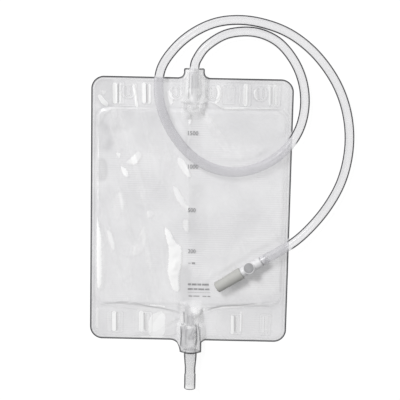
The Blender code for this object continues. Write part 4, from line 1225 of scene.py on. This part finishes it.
def paintPatches(x, y, marks, free, lift, white, dark):
    def placed(pixels):
        return [onFilm(*pixel, marks["height"]) for pixel in pixels]

    creases = [(placed(pixels), *rest) for pixels, *rest in marks["creases"]]
    for cover in paintLines(x, y, creases, 0.1, white, dark):
        lift += 0.12 * cover * free
    for pixels, width, whiteness in marks["strips"]:
        gap = alongLine(x, y, placed(pixels))[0]
        white += whiteness * smoothStep((width / 2 + 0.35 - gap) / 0.9)
        lift += 0.1 * smoothStep((width / 2 + 1.0 - gap) / 2.0) * free
    ripple = 0.2 * softNoise(x, y, 4.5, 31)
    for pixels, whiteness, darkness, soft in marks["facets"]:
        corners = roundedLoop(placed(pixels))
        across = [corner[0] for corner in corners]
        up = [corner[1] for corner in corners]
        near = (x > min(across) - 8) & (x < max(across) + 8) & (y > min(up) - 8) & (y < max(up) + 8)
        gap = alongLine(x[near], y[near], corners + corners[:1])[0]
        gap = np.where(insideLoop(x[near], y[near], corners), -gap, gap) + ripple[near]
        share = smoothStep((0.45 * soft - gap) / soft)
        white[near] += whiteness * share
        dark[near] += darkness * share
        lift[near] += 0.12 * whiteness * smoothStep((1.0 - gap) / 4.0) * free[near]


def paintWelds(x, y, plan, marks, lift, white, dark):
    relief = marks["weldRelief"]
    for (px, py), (left, right, slit) in zip(slitPlaces(plan), marks["pads"]):
        u, v = x - px * 1000, y - py * 1000
        frameGap = rectGap(u, v, *marks["padHalf"], 1.2)
        lift += relief * bell(frameGap, 0.6)
        # painted highlight round the pad, stronger on the side towards the light, and a line of painted
        # shade inside it
        litSide = smoothStep((v - u) / 12.0 + 0.5)
        white += bell(frameGap, 0.5) * (0.12 + 0.22 * litSide)
        dark += bell(frameGap - 0.8, 0.4) * 0.16
        inSlit = smoothStep((marks["slitEnd"] - np.abs(v)) / 1.2)
        lift += 0.25 * bell(np.abs(u) - 1.5, 0.9) * inSlit
        # painted highlights on the slit's lips and painted shade in the slit
        white += left * bell(u + 1.9, 1.2) * inSlit + right * bell(u - 1.9, 1.2) * inSlit
        dark += slit * bell(u, 0.55) * inSlit
    ring = marks["ringRadius"]
    flapRadius = plan["flapRadius"] * 1000
    flapBase = flapRadius - plan["flapHeight"] * 500
    for (px, py), (heading, whiteness) in zip(flapPlaces(plan), marks["rings"]):
        u, v = x - px * 1000, y - py * 1000
        radius = np.hypot(u, v)
        turn = math.radians(heading)
        toward = (u * math.cos(turn) + v * math.sin(turn)) / np.maximum(radius, 1e-6)
        lift += 0.2 * bell(radius - ring + 0.2, 0.9)
        # painted highlight on the ring, brightest on the arc towards the light, and a ring of painted shade
        # inside it
        white += bell(radius - ring, 0.7) * (0.18 + whiteness * smoothStep((toward - 0.1) / 0.7))
        dark += bell(radius - ring - 1.1, 0.5) * 0.14
        legs = np.abs(np.abs(u) - flapRadius)
        bend = np.abs(np.hypot(u, v - flapBase) - flapRadius)
        # the flap's cut drawn as a line of painted shade, with a painted highlight beside it
        dark += 0.55 * bell(np.where(v > flapBase, legs, bend), 0.5) * (np.abs(v) < marks["flapEnd"])
        white += 0.3 * bell(u - 0.9, 0.6) * (np.abs(v) < 4.0)
    for fx, fy, halfWidth, halfHeight, whiteness in marks["frames"]:
        frameGap = rectGap(x - fx, y - fy, halfWidth, halfHeight, 1.0)
        lift += relief * bell(frameGap, 0.6)
        # painted highlight along each frame and a line of painted shade inside it
        white += whiteness * bell(frameGap, 0.5)
        dark += 0.10 * bell(frameGap - 0.9, 0.4)


def markFilm(x, y, plan, marks, edge, route):
    # millimetres in, and the lift (mm), painted highlight and painted shade of every point out
    lift, white, dark = (np.zeros_like(x) for _ in range(3))
    edgeMm = [(px * 1000, py * 1000) for px, py in edge]
    fromEdge = alongLine(x, y, edgeMm + edgeMm[:1])[0]
    pressing = [(point.x * 1000, point.y * 1000) for point in route[::4]]
    tip = connectorFrame @ Vector((0.0, 0.0, marks["pressedTo"]))
    fromTube = alongLine(x, y, [*pressing, (tip.x * 1000, tip.y * 1000)])[0]
    free = smoothStep((fromTube - marks["pressedHalf"]) / 6.0)
    chamber = chamberGap(x / 1000, y / 1000, plan) * 1000
    inChamber = smoothStep(-(chamber + 1.0) / 5.0)
    uneven = softNoise(x, y, 9.0, 5)

    for points, width, rise, whiteness, darkness in marks["folds"]:
        gap, side, share = alongLine(x, y, points)
        ends = smoothStep(share / 0.15) * smoothStep((1.0 - share) / 0.15)
        body = bell(gap, width) * ends * (0.75 + 0.35 * uneven)
        lift += rise * body * free
        # painted highlight along each fold and painted shade on one side of it
        white += whiteness * body
        dark += darkness * bell(gap + side * width * 0.9, width * 0.8) * ends
    paintPatches(x, y, marks, free, lift, white, dark)
    paintPatches(x, y, portMarks, np.zeros_like(x), lift, white, dark)

    streaks = smoothStep((softNoise(x + 0.28 * y, 0.16 * y, 13.0, 17, 7) + 0.1) / 1.3)
    white += marks["streakHighlight"] * streaks * inChamber * smoothStep(-x / 22.0)

    ridges = 1.0 - np.abs(softNoise(x, y, 16.0, 11))
    patches = smoothStep((softNoise(x, y, 40.0, 23) + 0.2) / 0.8)
    waves = marks["waveLift"] * softNoise(x, y, 30.0, 3)
    lift += (waves + marks["creaseLift"] * ridges * patches) * inChamber * free
    # painted highlight on the crests of the fine creases
    white += 0.05 * smoothStep((ridges - 0.75) / 0.25) * patches * inChamber
    paintLines(x, y, marks["portLines"], 0.06, white, dark)

    # painted shade along the weld edge of the chamber, the outer bead painted dark, and the seam along the
    # sides with its painted highlight and lines of painted shade
    dark += 0.10 * bell(chamber - 1.2, 0.5)
    bead = bell(np.maximum(fromEdge - marks["beadInset"], 0.0), 0.4)
    white *= 1.0 - bead
    dark += bead * smoothStep((fromTube - 4.0) / 1.5)
    white += marks["seamHighlight"] * bell(fromEdge - marks["seamInset"], 0.8)
    for inset, darkness in marks["seamShades"]:
        dark += darkness * bell(fromEdge - inset, 0.4)
    paintWelds(x, y, plan, marks, lift, white, dark)
    return lift, np.clip(white, 0.0, 1.0), np.clip(dark, 0.0, 1.0), free


def tentSlope(x, y, plan):
    # how steeply the front film runs over the ports
    def height(px, py):
        return sum(sum(portLift(px, py, port, plan, plan["frontFall"])) for port in (inletPort, outletPort))

    step = 0.0004
    slopeX = (height(x + step, y) - height(x - step, y)) / (2 * step)
    slopeY = (height(x, y + step) - height(x, y - step)) / (2 * step)
    return np.hypot(slopeX, slopeY)


def buildFilms(plan, marks, edge, route):
    flat, triangles = planMesh(plan, edge)
    x, y = flat[:, 0], flat[:, 1]
    print("drainage bag: film plan,", len(flat), "points,", len(triangles), "triangles")
    lift, white, dark, free = markFilm(x * 1000, y * 1000, plan, marks, edge, route)
    lift = np.clip(lift, -0.5, 1.4) / 1000
    rise = plan["chamberRise"] * smoothStep(-chamberGap(x, y, plan) / plan["chamberRamp"])
    flatBase = plan["film"] / 2
    back = np.full(x.shape, flatBase)
    front = flatBase + plan["film"] + plan["weldGap"] + rise * (0.55 + 0.45 * free)
    overPort = {"back": np.zeros_like(x), "front": np.zeros_like(x)}
    for port in (inletPort, outletPort):
        plane, opening = portLift(x, y, port, plan, plan["backFall"])
        back += plane - opening
        overPort["back"] = np.maximum(overPort["back"], smoothStep(opening / 0.003))
        plane, opening = portLift(x, y, port, plan, plan["frontFall"])
        front += plane + opening
        overPort["front"] = np.maximum(overPort["front"], smoothStep(opening / 0.001))
    heights = {"back": back + np.clip(lift * 0.15, 0.0, 0.0002), "front": front + lift}
    steep = smoothStep((tentSlope(x, y, plan) - 0.35) / 0.5)
    # the films are made clearer there, which lifts the shade under the ports and on the steep slopes
    clearedAgainstShade = {
        "back": filmLooks["backClearing"] * overPort["back"],
        "front": filmLooks["frontClearing"] * steep,
    }
    # painted highlights and painted shade for each film
    paintedHighlight = {"back": white * filmLooks["backHighlight"], "front": white}
    # the films' painted shade and dark outline
    inkAndPaintedShade = {"back": dark * filmLooks["backShade"], "front": dark}
    pieces = {}
    for side, node in (("back", "back_film"), ("front", "front_film")):
        mesh = bpy.data.meshes.new(side + "Film")
        corners = triangles[:, ::-1] if side == "back" else triangles
        mesh.from_pydata(np.column_stack([x, y, heights[side]]).tolist(), [], corners.tolist())
        mesh.update()
        addNumbers(mesh, "paintedHighlight", paintedHighlight[side])
        addNumbers(mesh, "inkAndPaintedShade", inkAndPaintedShade[side])
        addNumbers(mesh, "overPort", overPort[side])
        addNumbers(mesh, "clearedAgainstShade", clearedAgainstShade[side])
        clear = clearFilm(side + "FilmClear", filmLooks)
        pieces[side] = addPiece(side + "Film", mesh, "bag", [clear])
        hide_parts(node)
    return pieces, flat, heights["front"]


films, filmFlat, frontHeights = buildFilms(bagPlan, filmMarks, bagEdge, tubeRoute)
print("drainage bag: films made")


volumePrint = {
    "numbers": (("1500", -3.8, 80.5), ("1000", -3.2, 46.3), ("500", -2.3, 1.4), ("200", -1.5, -41.4)),
    "digitWidth": 2.6,      # mm
    "digitHeight": 4.3,
    # plain bars: left end, middle height, width, height
    "bars": (
        (-1.3, -54.0, 3.0, 0.7), (2.6, -54.0, 3.4, 2.0),
        (-1.0, -76.4, 3.2, 2.1), (3.0, -76.4, 5.0, 2.1), (8.8, -76.4, 4.0, 2.1), (13.6, -76.4, 7.0, 2.1),
        (-1.0, -81.4, 5.2, 1.8), (5.0, -81.4, 4.0, 1.8), (9.8, -81.4, 6.2, 1.8), (16.8, -81.4, 4.6, 1.8),
        (-1.0, -84.9, 23.5, 0.3),
        (0.0, -88.8, 4.0, 1.1), (4.8, -88.8, 6.4, 1.1), (14.4, -88.8, 4.2, 1.1), (19.4, -88.8, 3.0, 1.1),
    ),
    "stand": 0.0003,
    "bold": 0.004,
    "grey": (0.10, 0.10, 0.105),
    "greyDark": (0.08, 0.08, 0.085),
    "numberCover": 0.92,
    "barCover": 0.56,
}


def surfaceUnder(points, flat, heights):
    found = []
    for x, y in points:
        gap = (flat[:, 0] - x) ** 2 + (flat[:, 1] - y) ** 2
        near = np.argpartition(gap, 6)[:6]
        found.append(float(heights[near].max()))
    return found


def numberMesh(text):
    curve = bpy.data.curves.new("volumeNumber", "FONT")
    curve.body = text
    curve.resolution_u = 3
    curve.offset = volumePrint["bold"]
    shape = bpy.data.objects.new("volumeNumber", curve)
    bpy.context.scene.collection.objects.link(shape)
    bpy.context.view_layer.update()
    graph = bpy.context.evaluated_depsgraph_get()
    mesh = bpy.data.meshes.new_from_object(shape.evaluated_get(graph))
    bpy.data.objects.remove(shape, do_unlink=True)
    return mesh


def buildPrint(setup, flat, heights):
    points = []
    faces = []
    for text, left, middle in setup["numbers"]:
        mesh = numberMesh(text)
        raw = np.array([tuple(vert.co)[:2] for vert in mesh.vertices])
        low, high = raw.min(axis=0), raw.max(axis=0)
        size = np.array([setup["digitWidth"] * len(text), setup["digitHeight"]])
        placed = (raw - low) / (high - low) * size
        placed += np.array([left, middle - size[1] / 2])
        start = len(points)
        points.extend((placed / 1000).tolist())
        faces.extend([start + i for i in face.vertices] for face in mesh.polygons)
    barStart = len(faces)
    for left, middle, width, height in setup["bars"]:
        start = len(points)
        steps = max(1, round(width / 1.5))
        for step in range(steps + 1):
            px = (left + width * step / steps) / 1000
            points.append([px, (middle - height / 2) / 1000])
            points.append([px, (middle + height / 2) / 1000])
        for step in range(steps):
            a = start + 2 * step
            faces.append([a, a + 2, a + 3, a + 1])
    under = surfaceUnder(points, flat, heights)
    mesh = bpy.data.meshes.new("volumePrint")
    mesh.from_pydata([(p[0], p[1], z + setup["stand"]) for p, z in zip(points, under)], [], faces)
    mesh.update()
    mesh.polygons.foreach_set("material_index", [0] * barStart + [1] * (len(faces) - barStart))
    return mesh


printInk = inkFinish("scaleInk", volumePrint["grey"], volumePrint["greyDark"], volumePrint["numberCover"])
barInk = inkFinish("barInk", volumePrint["grey"], volumePrint["greyDark"], volumePrint["barCover"])
printMesh = buildPrint(volumePrint, filmFlat, frontHeights)
addPiece("volumePrint", printMesh, "bag", [printInk, barInk])
print("drainage bag: scale printed")


def lensRing(radius, wing, z):
    # a boat section: a circle with tangents out to a point at each wing
    sides = 96
    turnAt = math.acos(min(radius / wing, 1.0))
    ring = []
    for step in range(sides):
        a = 2.0 * math.pi * step / sides
        # the angle from the nearer wing
        fold = abs((a + math.pi / 2) % math.pi - math.pi / 2)
        reach = radius / math.cos(max(turnAt - fold, 0.0))
        ring.append(Vector((reach * math.cos(a), reach * math.sin(a), z)))
    return ring


def portFrame(port):
    # z runs out of the port's mouth
    turn = Matrix.Rotation(-port["side"] * math.pi / 2, 4, "X")
    return Matrix.Translation((port["x"], port["side"] * port["mouth"], port["axisZ"])) @ turn


def portMesh(name, port):
    def roundRing(radius, z):
        return lensRing(radius, radius + 1e-6, z)

    place = portFrame(port)
    end = -port["length"]
    spigotEnd = end - port["spigotLength"]
    radius, wing, bevel = port["radius"], port["wing"], port["bevel"]
    rings = [
        lensRing(radius - bevel, wing - bevel, 0.0),
        lensRing(radius, wing, -bevel),
        lensRing(radius, wing, end + bevel),
        lensRing(radius - bevel, wing - bevel, end),
        roundRing(port["spigotRadius"], end),
        roundRing(port["spigotRadius"], spigotEnd),
        roundRing(port["boreRadius"], spigotEnd),
    ]
    mouth = [roundRing(*point) for point in port["socket"]] + [rings[0]]
    skins = [[[place @ point for point in reversed(ring)] for ring in skin] for skin in (rings, mouth)]
    mesh = loftRings(name, skins)
    mesh.polygons.foreach_set("material_index", [0] * len(mesh.polygons))
    return mesh


inletLooks = {
    "grey": (0.80, 0.795, 0.82),
    "greyDark": (0.74, 0.735, 0.76),
    "edge": (0.50, 0.50, 0.52),
    "roughness": 0.22,
    "alpha": 0.035,
    "grain": 0.00002,
    "edgeAlpha": 0.07,
    "rimStart": 0.45,
    "rimEnd": 0.9,
}

outletLooks = {
    "grey": (0.82, 0.82, 0.835),
    "greyDark": (0.76, 0.76, 0.775),
    "edge": (0.50, 0.50, 0.52),
    "roughness": 0.22,
    "alpha": 0.20,
    "grain": 0.000008,
    "edgeAlpha": 0.34,
    "rimStart": 0.45,
    "rimEnd": 0.9,
}

clearInlet = clearMoulding("clearInlet", inletLooks)
clearOutlet = clearMoulding("clearOutlet", outletLooks)
# the bores' deep walls are left to the tube and the nozzle that fill them
inletPiece = addPiece("inletPort", portMesh("inletPort", inletPort), "bag", [clearInlet], 35)
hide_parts("inlet_port")
outletPiece = addPiece("outletPort", portMesh("outletPort", outletPort), "bag", [clearOutlet], 35)
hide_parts("outlet_port")

nozzleSetup = {
    # (radius, place) from the bore round the open end to the head inside the port
    "profile": (
        (0.0043, 0.0010), (0.0043, 0.0392), (0.0044, 0.0394), (0.00505, 0.0394), (0.0054, 0.03933),
        (0.0057, 0.03914), (0.00588, 0.03884), (0.00595, 0.0385), (0.00595, 0.0381),
        (0.00595, 0.0242), (0.00592, 0.0239), (0.0056, 0.0230),
        (0.0056, 0.0163), (0.00665, 0.0048), (0.00665, 0.0006), (0.0064, 0.0003), (0.00545, 0.0003),
        (0.00545, -0.0103), (0.00605, -0.0103), (0.00605, -0.0154), (0.00475, -0.0154),
        (0.00475, -0.0170), (0.00605, -0.0170), (0.00605, -0.0195), (0.0036, -0.0195),
    ),
    # finish of each profile step: 0 the tube outside, 1 the bore, 2 the rounded end with its painted dark
    # edge, 3 the part in the port
    "finishes": (1, 1, 1, *[2] * 5, *[0] * 8, *[3] * 8),
    "grey": (0.68, 0.68, 0.69),
    "greyDark": (0.64, 0.64, 0.65),
    "edge": (0.03, 0.03, 0.035),
    "roughness": 0.32,
    "alpha": 0.33,
    "grain": 0.000006,
    "edgeAlpha": 0.97,
    "rimStart": 0.31,
    "rimEnd": 0.41,
    "along": (0.0, 1.0, 0.0),
    "boreAlpha": 0.05,
    "endShade": (0.07, 0.07, 0.075),
    "endShadeDark": (0.05, 0.05, 0.055),
    "endAlphas": (0.80, 0.05),      # of the rounded end, from outside and from inside
    "sides": 72,
}

headLooks = {**nozzleSetup, "alpha": 0.06, "edgeAlpha": 0.18}
nozzleFinishes = [
    clearMoulding("clearNozzle", nozzleSetup, nozzleSetup["along"]),
    moulded(
        "clearBore", nozzleSetup["grey"], nozzleSetup["greyDark"], 0.3, nozzleSetup["boreAlpha"],
    ).material,
    roundedEnd("nozzleEnd", nozzleSetup["endShade"], nozzleSetup["endShadeDark"], *nozzleSetup["endAlphas"]),
    clearMoulding("clearHead", headLooks, headLooks["along"]),
]
nozzleMesh = turnProfile("outletNozzle", nozzleSetup["profile"], portFrame(outletPort), nozzleSetup["sides"])
for face in nozzleMesh.polygons:
    face.material_index = nozzleSetup["finishes"][face.index // nozzleSetup["sides"]]
nozzlePiece = addPiece("outletNozzle", nozzleMesh, "outlet_slide", nozzleFinishes, 30)
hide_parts("outlet_nozzle")

sleeveSetup = {
    "roundRadius": 0.0052,
    "flatHeight": 0.0004,
    "flatWidth": 0.0083,
    "flatLength": 0.028,
    "flatZ": 0.001,
    "grip": 0.0015,         # what it covers of the spigot; two skins more would hold the light off
    "sides": 64,
    "grey": (0.80, 0.80, 0.815),
    "greyDark": (0.72, 0.72, 0.735),
    "edge": (0.45, 0.45, 0.46),
    "roughness": 0.3,
    "alpha": 0.03,
    "grain": 0.00002,
    "edgeAlpha": 0.08,
    "rimStart": 0.4,
    "rimEnd": 0.9,
}


def sleeveRing(setup, port, y, share):
    # round where the share is 1 and lying flat where it is 0
    halfWidth = setup["flatWidth"] + (setup["roundRadius"] - setup["flatWidth"]) * share
    halfHeight = setup["flatHeight"] + (setup["roundRadius"] - setup["flatHeight"]) * share
    middle = setup["flatZ"] + (port["axisZ"] - setup["flatZ"]) * share
    power = 2.0 / (3.0 - share)
    ring = []
    for step in range(setup["sides"]):
        turn = 2.0 * math.pi * (step + 0.5) / setup["sides"]
        across, up = math.cos(turn), math.sin(turn)
        ring.append(Vector((
            port["x"] + halfWidth * math.copysign(abs(across) ** power, across),
            y, middle + halfHeight * math.copysign(abs(up) ** power, up),
        )))
    return ring


def buildSleeve(setup, port, fall):
    spigotEnd = port["mouth"] - port["length"] - port["spigotLength"]
    stations = [(spigotEnd + setup["grip"], 1.0)]
    stations += [(spigotEnd - fall * step / 10, 1.0 - float(smoothStep(step / 10))) for step in range(11)]
    stations.append((spigotEnd - fall - setup["flatLength"], 0.0))
    return loftRings("nonReturnSleeve", [[sleeveRing(setup, port, y, share) for y, share in stations]])


clearSleeve = clearMoulding("clearSleeve", sleeveSetup)
sleeveMesh = buildSleeve(sleeveSetup, inletPort, bagPlan["frontFall"])
sleevePiece = addPiece("nonReturnSleeve", sleeveMesh, "bag", [clearSleeve])
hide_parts("non_return_valve")

# the stem and the seal keep their solids: name, colour, its darker clouds, roughness, alpha, grain's scale
solidFinishes = {
    "valve_stem": ("stemPlastic", (0.97, 0.97, 0.98), (0.93, 0.93, 0.94), 0.35),
    "nozzle_seal": ("sealRubber", (0.62, 0.62, 0.63), (0.56, 0.56, 0.57), 0.6, 0.08, 1500.0),
}
for node, looks in solidFinishes.items():
    material = moulded(*looks).material
    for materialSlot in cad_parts[node].material_slots:
        materialSlot.material = material
print("drainage bag: ports, sleeve and nozzle made")


studio = {
    "keyFrom": (-0.42, 0.56, 0.72),
    "keyDistance": 2.2,
    "keySize": 0.66,
    "keyPower": 38.0,
    "world": 0.42,
    "floorReach": 4.0,
    "floorZ": -0.0002,
    "floorBounce": 0.85,    # what the floor gives back to the part
    "floorDiffuse": 0.16,   # and what is seen of it, with the shadows
    "floorGlow": 0.90,
}


def mixedBy(tree, share, first, second):
    mix = addNode(tree, "MixShader", Fac=share)
    tree.links.new(first, mix.inputs[1])
    tree.links.new(second, mix.inputs[2])
    return mix.outputs["Shader"]


def addFloor(setup):
    mesh = bpy.data.meshes.new("studioFloor")
    reach = setup["floorReach"]
    corners = [(x * reach, y * reach, setup["floorZ"]) for x, y in ((-1, -1), (1, -1), (1, 1), (-1, 1))]
    mesh.from_pydata(corners, [], [(0, 1, 2, 3)])
    floor = bpy.data.objects.new("studioFloor", mesh)
    bpy.context.scene.collection.objects.link(floor)
    material = bpy.data.materials.new("paleFloor")
    material.use_nodes = True
    tree = material.node_tree
    tree.nodes.clear()
    plain = addNode(tree, "BsdfDiffuse", Color=(*[setup["floorBounce"]] * 3, 1.0))
    shadowed = addNode(tree, "BsdfDiffuse", Color=(*[setup["floorDiffuse"]] * 3, 1.0))
    glow = addNode(tree, "Emission", Strength=setup["floorGlow"])
    both = addNode(tree, "AddShader")
    tree.links.new(shadowed.outputs["BSDF"], both.inputs[0])
    tree.links.new(glow.outputs["Emission"], both.inputs[1])
    seen = addNode(tree, "LightPath")
    share = seen.outputs["Is Camera Ray"]
    for ray in ("Is Glossy Ray", "Is Transmission Ray"):
        either = addNode(tree, "Math")
        either.operation = "MAXIMUM"
        tree.links.new(share, either.inputs[0])
        tree.links.new(seen.outputs[ray], either.inputs[1])
        share = either.outputs["Value"]
    surface = mixedBy(tree, share, plain.outputs["BSDF"], both.outputs["Shader"])
    addNode(tree, "OutputMaterial", Surface=surface)
    mesh.materials.append(material)


def addLight(setup):
    direction = Vector(setup["keyFrom"]).normalized()
    lamp = bpy.data.lights.new("softKey", "AREA")
    lamp.shape = "DISK"
    lamp.size = setup["keySize"]
    lamp.energy = setup["keyPower"]
    key = bpy.data.objects.new("softKey", lamp)
    key.location = direction * setup["keyDistance"]
    key.rotation_euler = direction.to_track_quat("Z", "Y").to_euler()
    bpy.context.scene.collection.objects.link(key)


def addWorld(setup):
    world = bpy.data.worlds.new("studioWorld")
    world.use_nodes = True
    bpy.context.scene.world = world
    tree = world.node_tree
    tree.nodes.clear()
    white = (1.0, 1.0, 1.0, 1.0)
    fill = addNode(tree, "Background", Color=white, Strength=setup["world"])
    backdrop = addNode(tree, "Background", Color=white, Strength=1.0)
    share = addNode(tree, "LightPath").outputs["Is Camera Ray"]
    surface = mixedBy(tree, share, fill.outputs["Background"], backdrop.outputs["Background"])
    addNode(tree, "OutputWorld", Surface=surface)


addFloor(studio)
addLight(studio)
addWorld(studio)
bpy.context.scene.view_settings.view_transform = "Standard"
print("drainage bag: floor and light made")
